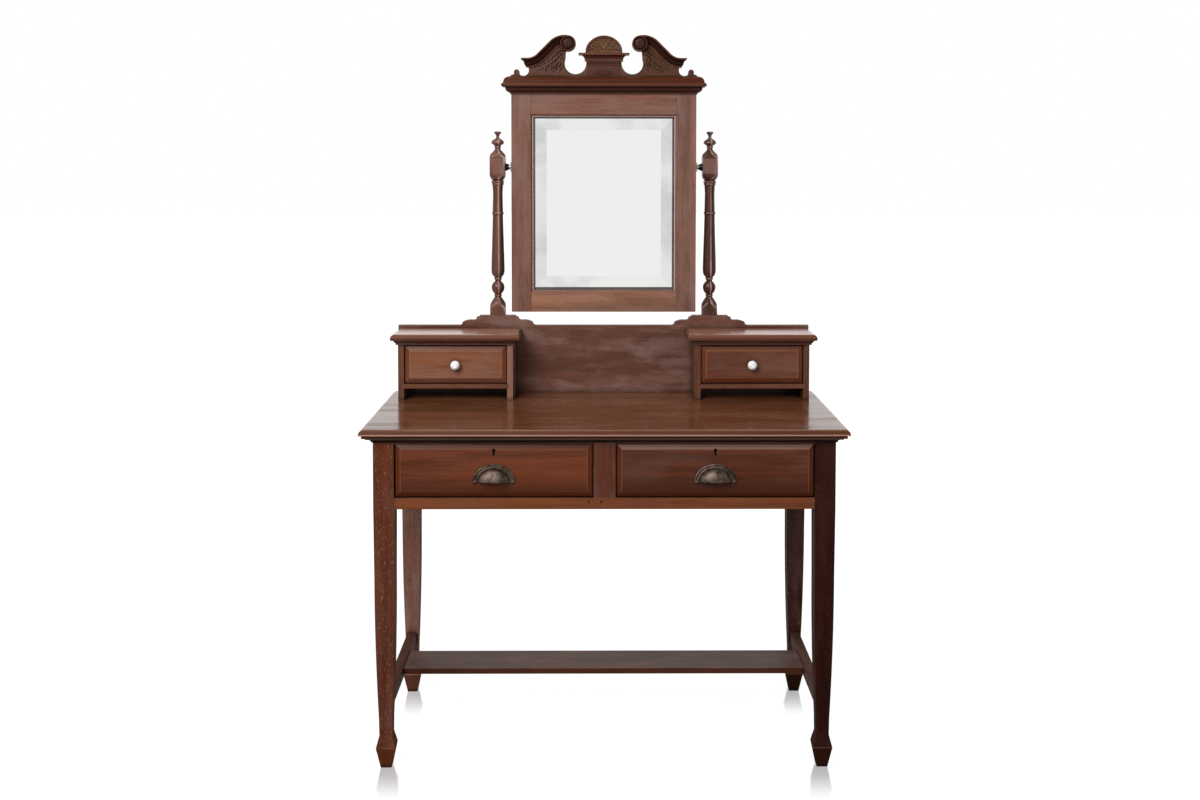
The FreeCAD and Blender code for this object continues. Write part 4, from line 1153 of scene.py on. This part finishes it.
@dataclass
class CupPull:
    """A half-round cup pull: grooved flange, domed cup open below, button ends and a screw.

    Places are measured from the middle of the flange's foot, on the drawer's front.
    """

    node: str
    base_rise: float = 4.2
    inner: float = 34.2
    flange: tuple[Point, ...] = ((0, 0), (0, 0.8), (1.4, 0.9), (2.0, 2.2), (3.0, 2.9), (4.2, 2.6), (5.2, 1.0),
                                 (6.6, 0.5), (8.0, 1.0), (8.9, 2.4), (10.2, 3.0), (11.6, 2.5), (12.5, 1.3),
                                 (12.7, 0))
    groove: int = 7
    flange_steps: int = 48
    flatness: float = 0.86
    reach: float = 20.0
    cup_rings: tuple[int, int] = (56, 28)
    lip_rise: float = 2.6
    wall: float = 1.5
    button: float = 4.2
    button_place: float = 41.0
    screw: float = 2.3
    screw_rise: float = 0.9
    dome_rings: tuple[int, int] = (20, 12)

    def build(self, finish: Finish, body: str) -> None:
        """Make the pull in place of its node.

        Args:
            finish: Its finish.
            body: The body that carries it.
        """
        shape = bmesh.new()
        self._flange(shape)
        self._cup(shape)
        for side in (-self.button_place, self.button_place):
            self._dome(shape, (side, 0), (self.button, self.button, self.button))
        out, thick = self.flange[self.groove]
        self._dome(shape, (0, (self.inner + out) * self.flatness),
                   (self.screw, self.screw * self.screw_rise + thick, self.screw))
        low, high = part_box(self.node)
        place = Vector((middle(self.node, 0), high[1], low[2] + self.base_rise * MM))
        bmesh.ops.scale(shape, vec=(MM, MM, MM), verts=shape.verts)
        bmesh.ops.translate(shape, vec=place, verts=shape.verts)
        add_piece(self.node.replace("drawer_cup_pull", "bronze_pull"), shape, finish, body,
                  (self.node,))

    def _flange(self, shape: bmesh.types.BMesh) -> None:
        """Turn the flange's section through half a circle and flatten it a little."""
        ring = [shape.verts.new((self.inner + out, -high, 0)) for out, high in self.flange]
        edges = [shape.edges.new(pair) for pair in zip(ring, ring[1:] + ring[:1])]
        bmesh.ops.spin(shape, geom=ring + edges, cent=(0, 0, 0), axis=(0, -1, 0), angle=math.pi,
                       steps=self.flange_steps)
        bmesh.ops.holes_fill(shape, edges=[edge for edge in shape.edges if edge.is_boundary])
        bmesh.ops.scale(shape, vec=(1, 1, self.flatness), verts=shape.verts)

    def _cup(self, shape: bmesh.types.BMesh) -> None:
        """Cut the cup from a flattened ball and give it a wall."""
        width = self.inner + self.wall / 2
        ball = self._ball(shape, self.cup_rings, (width, self.reach, width * self.flatness))
        mouth = Vector((0, self.lip_rise / self.reach, 1)).normalized()
        for plane, keep_inner in ((Vector((0, 1, 0)), True), (mouth, False)):
            cut = halve(shape, ball, plane, keep_inner)
            ball = [vert for vert in only(bmesh.types.BMVert, cut["geom"]) if vert.is_valid]
        bmesh.ops.solidify(shape, geom=around(ball, "link_faces"), thickness=self.wall)

    def _dome(self, shape: bmesh.types.BMesh, place: Point, size: tuple[float, float, float]) -> None:
        """Seat half a flattened ball on the drawer's front or the flange.

        Args:
            shape: The shape that takes it.
            place: Its middle, (across, up).
            size: Its half-width, reach and half-height.
        """
        cut = halve(shape, self._ball(shape, self.dome_rings, size), Vector((0, 1, 0)))
        bmesh.ops.holes_fill(shape, edges=only(bmesh.types.BMEdge, cut["geom_cut"]))
        bmesh.ops.translate(shape, vec=(place[0], 0, place[1]), verts=only(bmesh.types.BMVert, cut["geom"]))

    @staticmethod
    def _ball(shape: bmesh.types.BMesh, rings: tuple[int, int],
              size: tuple[float, float, float]) -> list[bmesh.types.BMVert]:
        """Add a ball stretched to a size.

        Args:
            shape: The shape that takes it.
            rings: Its steps round and up.
            size: Half its lengths along X, Y and Z.

        Returns:
            Its vertices.
        """
        ball = bmesh.ops.create_uvsphere(shape, u_segments=rings[0], v_segments=rings[1], radius=1)["verts"]
        bmesh.ops.scale(shape, vec=size, verts=ball)
        return ball


@dataclass
class LongDrawers:
    """The two long drawers with their locks and cup pulls.

    A front has a tone, the painted light of its upper bevel, bloom and a seed. The right front's darker tone
    is painted shade.
    """

    fronts: tuple[tuple[str, Screen, Screen, float, float], ...] = (
        ("left", (100, 48, 24), (84, 47, 32), 0.06, 12.0),
        # Painted shade: the right front is darker than the left.
        ("right", (86, 41, 21), (126, 96, 88), 0.10, 13.0))
    # Painted shadow in the gaps round the long drawer fronts.
    gap_shadow: float = 0.92
    gap_shadow_reach: float = 2.4

    def build(self) -> None:
        """Dress the drawers and make the pulls."""
        for side, tone, lit_top_slope_tone, bloom, seed in self.fronts:
            node = f"{side}_drawer_front"
            dress(PanelWood(f"{node}_wood", tone=tone, lit_top_slope_tone=lit_top_slope_tone, bloom=bloom, seed=seed, node=node,
                            gap_shadow=self.gap_shadow, gap_shadow_reach=self.gap_shadow_reach), node)
        dress(BareWood("drawer_side_wood", along=Along.Y), *both("drawer_box"))
        dress(BareWood("drawer_bottom_wood"), *both("drawer_bottom"))
        dress(OldMetal("lock_steel", tone=(96, 88, 80)), *both("drawer_lock_case"))
        dress(OldMetal("bolt_steel", tone=(120, 112, 102)), *both("drawer_lock_bolt"))
        bronze = OldMetal("patina_bronze", tone=(122, 105, 93), dark=(54, 41, 32), bright=(188, 172, 156),
                          roughness=0.58, bumps=0.1, rub_radius=0.6)
        for side, node in zip(("right", "left"), both("drawer_cup_pull")):
            CupPull(node).build(bronze, f"{side}_drawer")


@dataclass
class SmallBoxes:
    """The two small drawer boxes on the tabletop.

    A front has a tone, bloom and a seed. The right front's darker tone is painted shade.
    """

    # Painted light: the left front lighter than the right.
    fronts: tuple[tuple[str, Screen, float, float], ...] = (
        ("right", (102, 55, 34), 0.22, 17.0), ("left", (125, 75, 48), 0.34, 17.7))
    bevel: float = 13.0
    # Painted shadow in the gaps round the small drawer fronts.
    gap_shadow_reach: float = 2.6
    # Painted light: the left box's inner side board made paler where little light reaches it.
    lit_inner_board: Band = Band(-16, 1, (158, 118, 102), 0.5)
    # Painted highlights and shade on the lids' moulded edges.
    lid_light_and_shade: tuple[Band, ...] = (
        Band(-0.5, 2, (170, 112, 92), 0.7), Band(-11, -0.8, (96, 52, 30), 0.75),
        Band(-11, -8.4, (46, 21, 12), 0.75), Band(-26, -11.6, (62, 30, 17), 0.7),
        Band(-15.8, -13.6, (150, 112, 98), 0.6))

    def build(self) -> None:
        """Dress the boxes, their drawers and the knobs."""
        dress(MouldedWood("box_side_wood", along=Along.Z, tone=(94, 56, 38), bloom=0.10, seed=14.0,
                          across=Along.X, start=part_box("left_small_box_sides")[1][0],
                          bands=(self.lit_inner_board,)), *both("small_box_sides"))
        dress(PolishedWood("box_shelf_wood", tone=(100, 61, 42), bloom=0.08, seed=15.0),
              *both("small_box_shelf"))
        dress(MouldedWood("box_top_wood", tone=(118, 74, 51), bloom=0.30, roughness=0.26, shine=0.16,
                          coat=1.0, coat_roughness=0.27, flat_polish=True, seed=16.0,
                          start=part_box("right_small_box_top")[1][2], bands=self.lid_light_and_shade),
              *both("small_box_top"))
        for side, tone, bloom, seed in self.fronts:
            node = f"{side}_small_drawer_front"
            dress(PanelWood(f"{node}_wood", tone=tone, bloom=bloom, seed=seed, node=node, bevel=self.bevel,
                            side_slope_light_tone=(96, 46, 18), shaded_low_slope_tone=(84, 42, 18), lit_top_slope_tone=(106, 62, 42), arris_highlight=0.7,
                            low_shade_share=0.1, gap_shadow=0.9, gap_shadow_reach=self.gap_shadow_reach), node)
        dress(BareWood("small_side_wood", along=Along.Y), *both("small_drawer_box"))
        dress(BareWood("small_bottom_wood"), *both("small_drawer_bottom"))
        for knob in both("small_drawer_knob"):
            dress(GlazedCeramic(f"{knob}_glaze", node=knob), knob)


@dataclass
class TurnedPost:
    """One turned post, spun from its outline and squared where its blocks are.

    The outline's points are (drop, radius), with the drop measured down from the finial's top. Shaded
    necks are the hollows of its rings, painted with shade, lit crests their ridges, painted with highlights,
    and block the square block.
    """

    node: str
    half_block: float = 19.0
    board: float = 17.0
    outline: tuple[Point, ...] = (
        (0, 0), (0.2, 5), (1.4, 8), (3, 9.2), (5, 8.4), (7.6, 5.6), (11, 4.1), (15.5, 3.9), (17.4, 5.2),
        (20, 9.2), (23.2, 13.6), (26.4, 15.7), (28.2, 16), (30, 15.6), (33.2, 12), (36.2, 7.6), (37, 6.9),
        (37.4, 8), (39.2, 8.5), (41, 8), (41.6, 6.8), (44, 6.8), (47, 8.4), (51, 12), (55, 16.4),
        (59.5, 21), (63, 24.6), (66, 27.4), (110, 27.4), (114, 21.6), (118, 17.6), (121.6, 15.2),
        (122.4, 13.8), (124, 13.6), (125, 15.4), (127, 16.7), (129, 15.6), (129.8, 14), (130.6, 14.9),
        (132.6, 15.3), (134.4, 14.6), (135.4, 13.4), (155, 12.1), (180, 12.6), (202.4, 13.1), (203, 14.2),
        (206, 15.1), (209, 14.2), (210, 13.1), (240, 13.8), (280, 15), (315, 16.2), (346, 16.9),
        (355, 16.6), (361, 15), (365.4, 12), (367.6, 9.6), (369, 9.2), (370, 9.9), (373, 9.9), (374.2, 8.4),
        (376.6, 7.4), (378.6, 9), (382.4, 12.6), (387, 15.4), (394, 16.5), (401, 15.2), (406.4, 12),
        (410.6, 8.6), (411.6, 8.2), (412.4, 9.6), (415.4, 9.6), (416.4, 8.2), (418.2, 8.6), (423, 12.4),
        (429, 16.4), (435, 20.6), (440, 24.4), (444, 27.4))
    shaded_necks: tuple[Span, ...] = ((36.4, 37.2), (41.2, 44.4), (122, 124.6), (129.2, 130.4), (134.8, 136.4),
                               (201.4, 202.8), (209.4, 210.8), (366.8, 369.4), (374, 378), (409.8, 412),
                               (415.8, 418))
    lit_crests: tuple[Span, ...] = ((26.6, 29), (38, 40), (125.6, 127.6), (131.2, 133.4), (204.4, 206.6),
                                (370, 372), (412.6, 414.2))
    block: Span = (68, 106)
    turns: int = 64
    tail_proud: float = 0.4
    tail_bevel: float = 0.8
    weld: float = 0.01

    def wood(self, tone: Screen, block_share: float) -> TurnedWood:
        """The post's finish, with painted shade in the necks and painted highlights on the crests of its
        rings.

        Args:
            tone: The wood's tone.
            block_share: How far the block is paler than the rest.

        Returns:
            The finish.
        """
        # Painted shade in the necks and painted highlights on the crests.
        members = ((self.shaded_necks, (20, 9, 6), 0.7), (self.lit_crests, (160, 122, 106), 0.45),
                   ((self.block,), (134, 98, 90), block_share))
        bands = tuple(Band(-low, -high, colour, share) for spans, colour, share in members
                      for high, low in spans)
        return TurnedWood(f"{self.node}_wood", along=Along.Z, tone=tone, bloom=0.14, wear=0.5, roughness=0.36,
                          shine=0.22, coat=0.16, coat_roughness=0.2, edge=0.5, grime_and_shade=0.95, hollow_shade_reach=7.0,
                          seed=19.0, start=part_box(self.node)[1][2], bands=bands, blur=0.4)

    def build(self, finish: Finish) -> None:
        """Make the post in place of its node.

        Args:
            finish: Its finish.
        """
        low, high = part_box(self.node)
        back, top = high[1] / MM, high[2] / MM
        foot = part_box("backboard")[1][2] / MM
        shape = bmesh.new()
        chain = [shape.verts.new((radius, 0, top - drop)) for drop, radius in self.outline]
        chain.append(shape.verts.new((chain[-1].co.x, 0, foot)))
        chain.append(shape.verts.new((0, 0, foot)))
        edges = [shape.edges.new(pair) for pair in zip(chain, chain[1:])]
        bmesh.ops.spin(shape, geom=chain + edges, cent=(0, 0, 0), axis=(0, 0, 1), angle=math.tau,
                       steps=self.turns, use_merge=True)
        bmesh.ops.remove_doubles(shape, verts=shape.verts, dist=self.weld)
        for vert in shape.verts:
            reach = max(abs(vert.co.x), abs(vert.co.y))
            if reach > self.half_block:
                vert.co.x *= self.half_block / reach
                vert.co.y *= self.half_block / reach
        bmesh.ops.translate(shape, vec=(0, back - self.half_block, 0), verts=shape.verts)
        board_back = back - 2 * self.half_block + self.board
        self._tail(shape, (board_back, back - self.tail_proud), (low[2] / MM, foot))
        bmesh.ops.scale(shape, vec=(MM, MM, MM), verts=shape.verts)
        bmesh.ops.translate(shape, vec=(middle(self.node, 0), 0, 0), verts=shape.verts)
        add_piece(self.node.replace("_post", "_turned_post"), shape, finish, "table",
                  (self.node,))

    def _tail(self, shape: bmesh.types.BMesh, depths: Span, heights: Span) -> None:
        """Add the tail that is lapped over the backboard's back.

        Args:
            shape: The shape that takes it.
            depths: Where its front and its back lie.
            heights: Where its foot and its top lie.
        """
        tail = bmesh.ops.create_cube(shape, size=1)["verts"]
        size = (2 * self.half_block, depths[1] - depths[0], heights[1] - heights[0])
        bmesh.ops.scale(shape, vec=size, verts=tail)
        bmesh.ops.translate(shape, vec=(0, sum(depths) / 2, sum(heights) / 2), verts=tail)
        bmesh.ops.bevel(shape, geom=around(tail, "link_edges"), offset=self.tail_bevel, offset_type="OFFSET",
                        affect="EDGES", segments=2, profile=0.5, material=-1)


@dataclass
class UpperPart:
    """The backboard, the turned posts and the swing movement.

    A post has a tone and its block's paleness. The right post's darker tone is painted shade.
    """

    # Painted shade: the right post is darker than the left.
    posts: tuple[tuple[str, Screen, float], ...] = (
        ("right_post", (66, 30, 16), 0.48), ("left_post", (93, 53, 40), 0.28))

    def build(self) -> None:
        """Dress the backboard and the metalwork, and turn the posts."""
        dress(PolishedWood("backboard_wood", tone=(92, 54, 40), bloom=0.50, streaks=0.5, figure=0.25,
                           wear=0.25, seed=18.0), "backboard")
        for node, tone, block_share in self.posts:
            post = TurnedPost(node)
            post.build(post.wood(tone, block_share))
        dress(OldMetal("swing_metal", tone=(52, 46, 42), dark=(24, 21, 19)), "swing_sockets", "post_screws")
        dress(OldMetal("plate_metal", tone=(176, 172, 166), dark=(96, 90, 84)), "swing_plates")


@dataclass
class SwingMirror:
    """The mirror's frame, glass, backing and cornice.

    A stile has a tone and a seed.
    """

    stiles: tuple[tuple[str, Screen, float], ...] = (
        ("right", (122, 84, 72), 20.0), ("left", (110, 70, 57), 20.6))
    seam: float = 0.7
    bead: float = 4.6
    # Painted highlight on the sight bead's outer slope.
    bead_lit_slope: Screen = (134, 94, 80)
    # Painted highlight and shade on the cornice's members, with a black painted shadow in the undercut.
    cornice: tuple[Band, ...] = (
        Band(0, 3.6, (90, 66, 58), 0.6), Band(3.8, 13, (52, 26, 18), 0.8),
        Band(13, 17.4, (20, 9, 6), 0.85), Band(17.4, 26.6, (84, 48, 34), 0.8),
        Band(27, 29, (40, 20, 12), 0.6), Band(29, 44, (70, 31, 13), 0.85))

    def build(self) -> None:
        """Dress the mirror."""
        for side, tone, seed in self.stiles:
            dress(PolishedWood(f"mirror_{side}_stile_wood", along=Along.Z, tone=tone, bloom=0.40, figure=0.5,
                               seed=seed), f"mirror_{side}_stile")
        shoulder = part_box("mirror_right_stile")[0][0] / MM
        seams = tuple(Band(place - self.seam, place + self.seam, (48, 24, 16), 0.75)
                      for place in (-shoulder, shoulder))
        dress(MouldedWood("mirror_top_wood", tone=(118, 76, 60), bloom=0.32, seed=21.0, across=Along.X,
                          bands=seams), "mirror_top_rail")
        dress(MouldedWood("mirror_foot_wood", tone=(134, 92, 70), bloom=0.40, figure=0.7, seed=21.5,
                          across=Along.X, bands=seams), "mirror_bottom_rail")
        # Sight bead: dark tone as painted shade by the deep-set glass, with painted highlights on its outer
        # slope and arris.
        dress(PanelWood("bead_wood", tone=(46, 23, 15), wear=0.4, wear_and_highlight_colour=(206, 182, 172), grime_and_shade=0.2,
                        seed=22.0, node="sight_bead", bevel=self.bead, side_slope_light_tone=self.bead_lit_slope,
                        shaded_low_slope_tone=self.bead_lit_slope, lit_top_slope_tone=self.bead_lit_slope, arris_highlight=1.0, low_shade_share=0.0,
                        gap_shadow=0.0), "sight_bead")
        dress(SilveredGlass("silvered_glass"), "mirror_glass")
        dress(BareWood("backing_wood", along=Along.Z, tone=(150, 112, 80)), "backing_board")
        dress(MouldedWood("cornice_wood", tone=(92, 52, 36), bloom=0.08, wear=0.3, shine=0.07, coat=0.0,
                          seed=23.0, start=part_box("cornice")[0][2], bands=self.cornice), "cornice")


@dataclass
class Pediment:
    """The fretted board with its scroll mouldings, cap, lunette and carving.

    Places on the board are measured from its middle and from the cornice's top, and on the lunette
    from its foot. A blade is its control points, its width and its relief, and where it is made by a
    formula, width and relief stand alone. The shell's blades each have an angle and a length, a necking
    has its rise, width and relief, and a scroll its centre, radii, left angles and right angles.
    """

    volute: Point = (89.8, 81.8)
    volute_radius: float = 19.5
    volute_reach: float = 17.0
    boss_share: float = 0.68
    boss_edge_share: float = 0.8
    petals: int = 8
    petal_reaches: tuple[float, float, float] = (2.0, 6.5, 11.4)
    petal: Point = (6.8, 1.3)
    bud: Point = (5.0, 1.4)
    bud_half: float = 2.4
    eye: Point = (71.3, 33.0)
    eye_radius: float = 29.4
    eye_angles: Span = (12, -58)
    eye_border: Point = (2.6, 2.0)
    plinth_half: float = 43.5
    lunette_recess: float = 3.0
    # Painted highlights and shade along the scroll mouldings' members.
    scroll_light_and_shade: tuple[Band, ...] = (
        Band(1, 2.4, (104, 64, 50), 0.65), Band(2.8, 13, (38, 17, 11), 0.9),
        Band(13.4, 15.0, (92, 56, 44), 0.65))
    leaves: Blades = (
        ((103, 66), (122, 66), (138, 31), (185, 18), 7.0, 3.8),
        ((101, 61), (116, 57), (128, 25), (175, 12.5), 7.6, 4.2),
        ((101, 56), (111, 49), (118, 21), (154, 10), 7.6, 4.0),
        ((101, 50), (107, 42), (109, 22), (134, 9.5), 7.0, 3.8),
        ((101, 45), (105, 34), (103, 20), (115, 9), 6.0, 3.4))
    lobes: Blades = (
        ((125, 38), (121, 32), (120, 27), (123, 20), 4.6, 5.2),
        ((136, 30), (132, 26), (131, 21), (134, 15), 4.6, 5.0),
        ((148, 23), (145, 19), (144, 16), (147, 11), 4.2, 4.6),
        ((113, 44), (110, 37), (110, 31), (114, 24), 4.6, 5.2))
    cap_leaf: Blades = (((98, 66), (108, 72), (117, 64), (120, 51), 9.0, 5.0),)
    strip: Blades = (((104, 4.2), (184, 4.2), 3.6, 1.2),)
    shell: tuple[Point, ...] = ((90, 15), (66, 16.5), (114, 16.5), (44, 20), (136, 20), (26, 25), (154, 25),
                                (12, 29), (168, 29))
    shell_rise: float = 2.5
    shell_root: Point = (0.08, 2.0)
    shell_bend: Point = (0.55, 0.85)
    shell_blade: Point = (4.6, 1.3)
    neckings: tuple[tuple[float, float, float], ...] = ((33.0, 3.0, 1.9), (28.0, 1.8, 1.0))
    necking_inset: float = 2.0
    lunette_bud: Blades = (((0, 9), (0, 16), (0, 24), 5.0, 2.4),)
    lunette_tip: Blades = (((0, 27), (0, 32), (0, 37), 4.2, 2.0),)
    scroll: Point = (2.8, 2.6)
    scrolls: tuple[tuple[Point, Span, Span, Span], ...] = (
        ((10.5, 23), (7.4, 1.8), (240, -220), (-60, 400)),
        ((26.5, 16.5), (7.8, 1.8), (-20, 380), (200, -200)))
    sprays: Blades = (
        ((2, 8), (9, 9), (15, 12), (18.5, 18), 3.2, 2.4),
        ((4, 13), (4, 20), (2.5, 27), (5, 33), 3.4, 2.2),
        ((7, 31), (13, 37), (20, 36), (25, 31), 3.6, 2.4),
        ((19, 28), (24, 30), (30, 28), (34, 22), 3.6, 2.4),
        ((33, 9), (39, 10), (40, 15), (37.5, 21), 3.4, 2.2),
        ((14, 12), (20, 8), (27, 6.5), (36, 8), 3.4, 2.2))
    ribbon: Blades = (((0, 3.4), (13, 7.0), (26, 0.8), (41, 3.8), 3.6, 2.2),)

    def build(self) -> None:
        """Dress the pediment and add its carving."""
        plinth = (Band(-self.plinth_half, self.plinth_half, (66, 35, 23), 0.8),)
        dress(MouldedWood("board_wood", tone=(84, 48, 30), bloom=0.10, wear=0.4, seed=24.0,
                          across=Along.X, bands=plinth), "pediment_board")
        dress(MouldedWood("scroll_wood", tone=(58, 29, 19), bloom=0.04, wear=0.4, shine=0.05, coat=0.0,
                          hollow_shade_reach=8.0, across=Along.Y, seed=25.0, start=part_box("scroll_mouldings")[0][1],
                          bands=self.scroll_light_and_shade), "scroll_mouldings")
        dress(PolishedWood("cap_wood", tone=(88, 47, 30), wear=0.5, seed=26.0), "plinth_cap")
        dress(PolishedWood("lunette_wood", tone=(90, 52, 27), wear=0.5, seed=27.0), "lunette")
        leaf = PolishedWood("leaf_wood", tone=(88, 53, 36), bloom=0.12, wear=1.0, wear_and_highlight_colour=(172, 132, 98),
                            grime_and_shade=1.0, hollow_shade_reach=6.0, edge=0.6, shine=0.25, seed=28.0)
        petal = PolishedWood("petal_wood", tone=(62, 34, 26), bloom=0.06, wear=0.45, grime_and_shade=1.0,
                             hollow_shade_reach=4.0, edge=0.4, shine=0.08, coat=0.0, seed=28.5)
        gilt = PolishedWood("gilt_wood", tone=(128, 87, 48), wear=0.7, wear_and_highlight_colour=(156, 118, 76), grime_and_shade=1.0,
                            hollow_shade_reach=4.0, edge=0.5, shine=0.2, seed=29.0)
        board_low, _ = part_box("pediment_board")
        face, origin = board_low[1] / MM, (0, board_low[2] / MM)
        for side, name in ((1, "right"), (-1, "left")):
            carving(f"{name}_leaf_carving", self._leaves(), Face(lambda across, up: face, origin, side), leaf)
            boss = Face(lambda across, up: self._boss(face, across, up), origin, side)
            carving(f"{name}_volute_flower", self._flower(), boss, petal)
        carving("plinth_carving", self._plinth(), Face(lambda across, up: face, origin), petal)
        lunette_low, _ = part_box("lunette")
        ground = lunette_low[1] / MM + self.lunette_recess
        carving("lunette_carving", self._lunette(),
                Face(lambda across, up: ground, (0, lunette_low[2] / MM)), gilt)

    def _boss(self, face: float, across: float, up: float) -> float:
        """The depth of the volute's domed boss.

        Args:
            face: The depth of the board's face.
            across: The place from the board's middle.
            up: The place above the cornice.

        Returns:
            The depth.
        """
        reach = math.hypot(across - self.volute[0], up - self.volute[1])
        share = min(reach / (self.boss_share * self.volute_radius), 1.0)
        edge = self.boss_edge_share
        return face - self.volute_reach * (edge + (1 - edge) * math.sqrt(1 - share ** 2))

    def _leaves(self) -> list[Cut]:
        """The spray of leaves under the scroll, its lobes, the eye's border and the strip at the foot."""
        ring = spiral(self.eye, (self.eye_radius, self.eye_radius), self.eye_angles)
        border = Cut(ring, *self.eye_border, vein=0.0, even=True, steps=20)
        return [*blades(self.leaves), *blades(self.lobes, vein=0.2, steps=8), *blades(self.cap_leaf), border,
                *blades(self.strip, vein=0.0, even=True)]

    def _flower(self) -> list[Cut]:
        """Eight low petals and a bead on the volute's boss."""
        across, up = self.volute
        angles = [math.tau * (turn + 0.5) / self.petals for turn in range(self.petals)]
        petals = [[*((across + reach * math.cos(angle), up + reach * math.sin(angle))
                     for reach in self.petal_reaches), *self.petal] for angle in angles]
        bead = ((across - self.bud_half, up), (across + self.bud_half, up), *self.bud)
        return blades(petals, vein=0.2, steps=8) + blades([bead], vein=0.0, steps=8)

    def _plinth(self) -> list[Cut]:
        """A low shell of blades under the plinth's necking."""
        shell = []
        for angle, length in self.shell:
            across = length * math.cos(math.radians(angle))
            up = length * math.sin(math.radians(angle))
            root = (across * self.shell_root[0], self.shell_root[1])
            bend = (across * self.shell_bend[0], self.shell_rise + up * self.shell_bend[1])
            shell.append((root, bend, (across, self.shell_rise + up), *self.shell_blade))
        edge = self.plinth_half - self.necking_inset
        necking = [((-edge, rise), (edge, rise), width, relief) for rise, width, relief in self.neckings]
        return blades(shell, vein=0.15) + blades(necking, vein=0.0, even=True)

    def _lunette(self) -> list[Cut]:
        """Scrolls and leaves on both sides of a bud, over a ribbon."""
        cuts = blades(self.lunette_bud, vein=0.2) + blades(self.lunette_tip)
        for side in (-1, 1):
            for (across, up), radii, left, right in self.scrolls:
                turn = spiral((across * side, up), radii, right if side > 0 else left)
                cuts.append(Cut(turn, *self.scroll, vein=0.0, steps=30))
            cuts += blades(self.sprays, side) + blades(self.ribbon, side, vein=0.0, even=True)
        return cuts


def main() -> None:
    """Build the scene in order."""
    logging.basicConfig(level=logging.INFO, format="%(message)s")
    for maker in (Camera(), Studio(), TableFrame(), LongDrawers(), SmallBoxes(), UpperPart(),
                  SwingMirror(), Pediment()):
        maker.build()


if __name__ == "__main__":
    main()
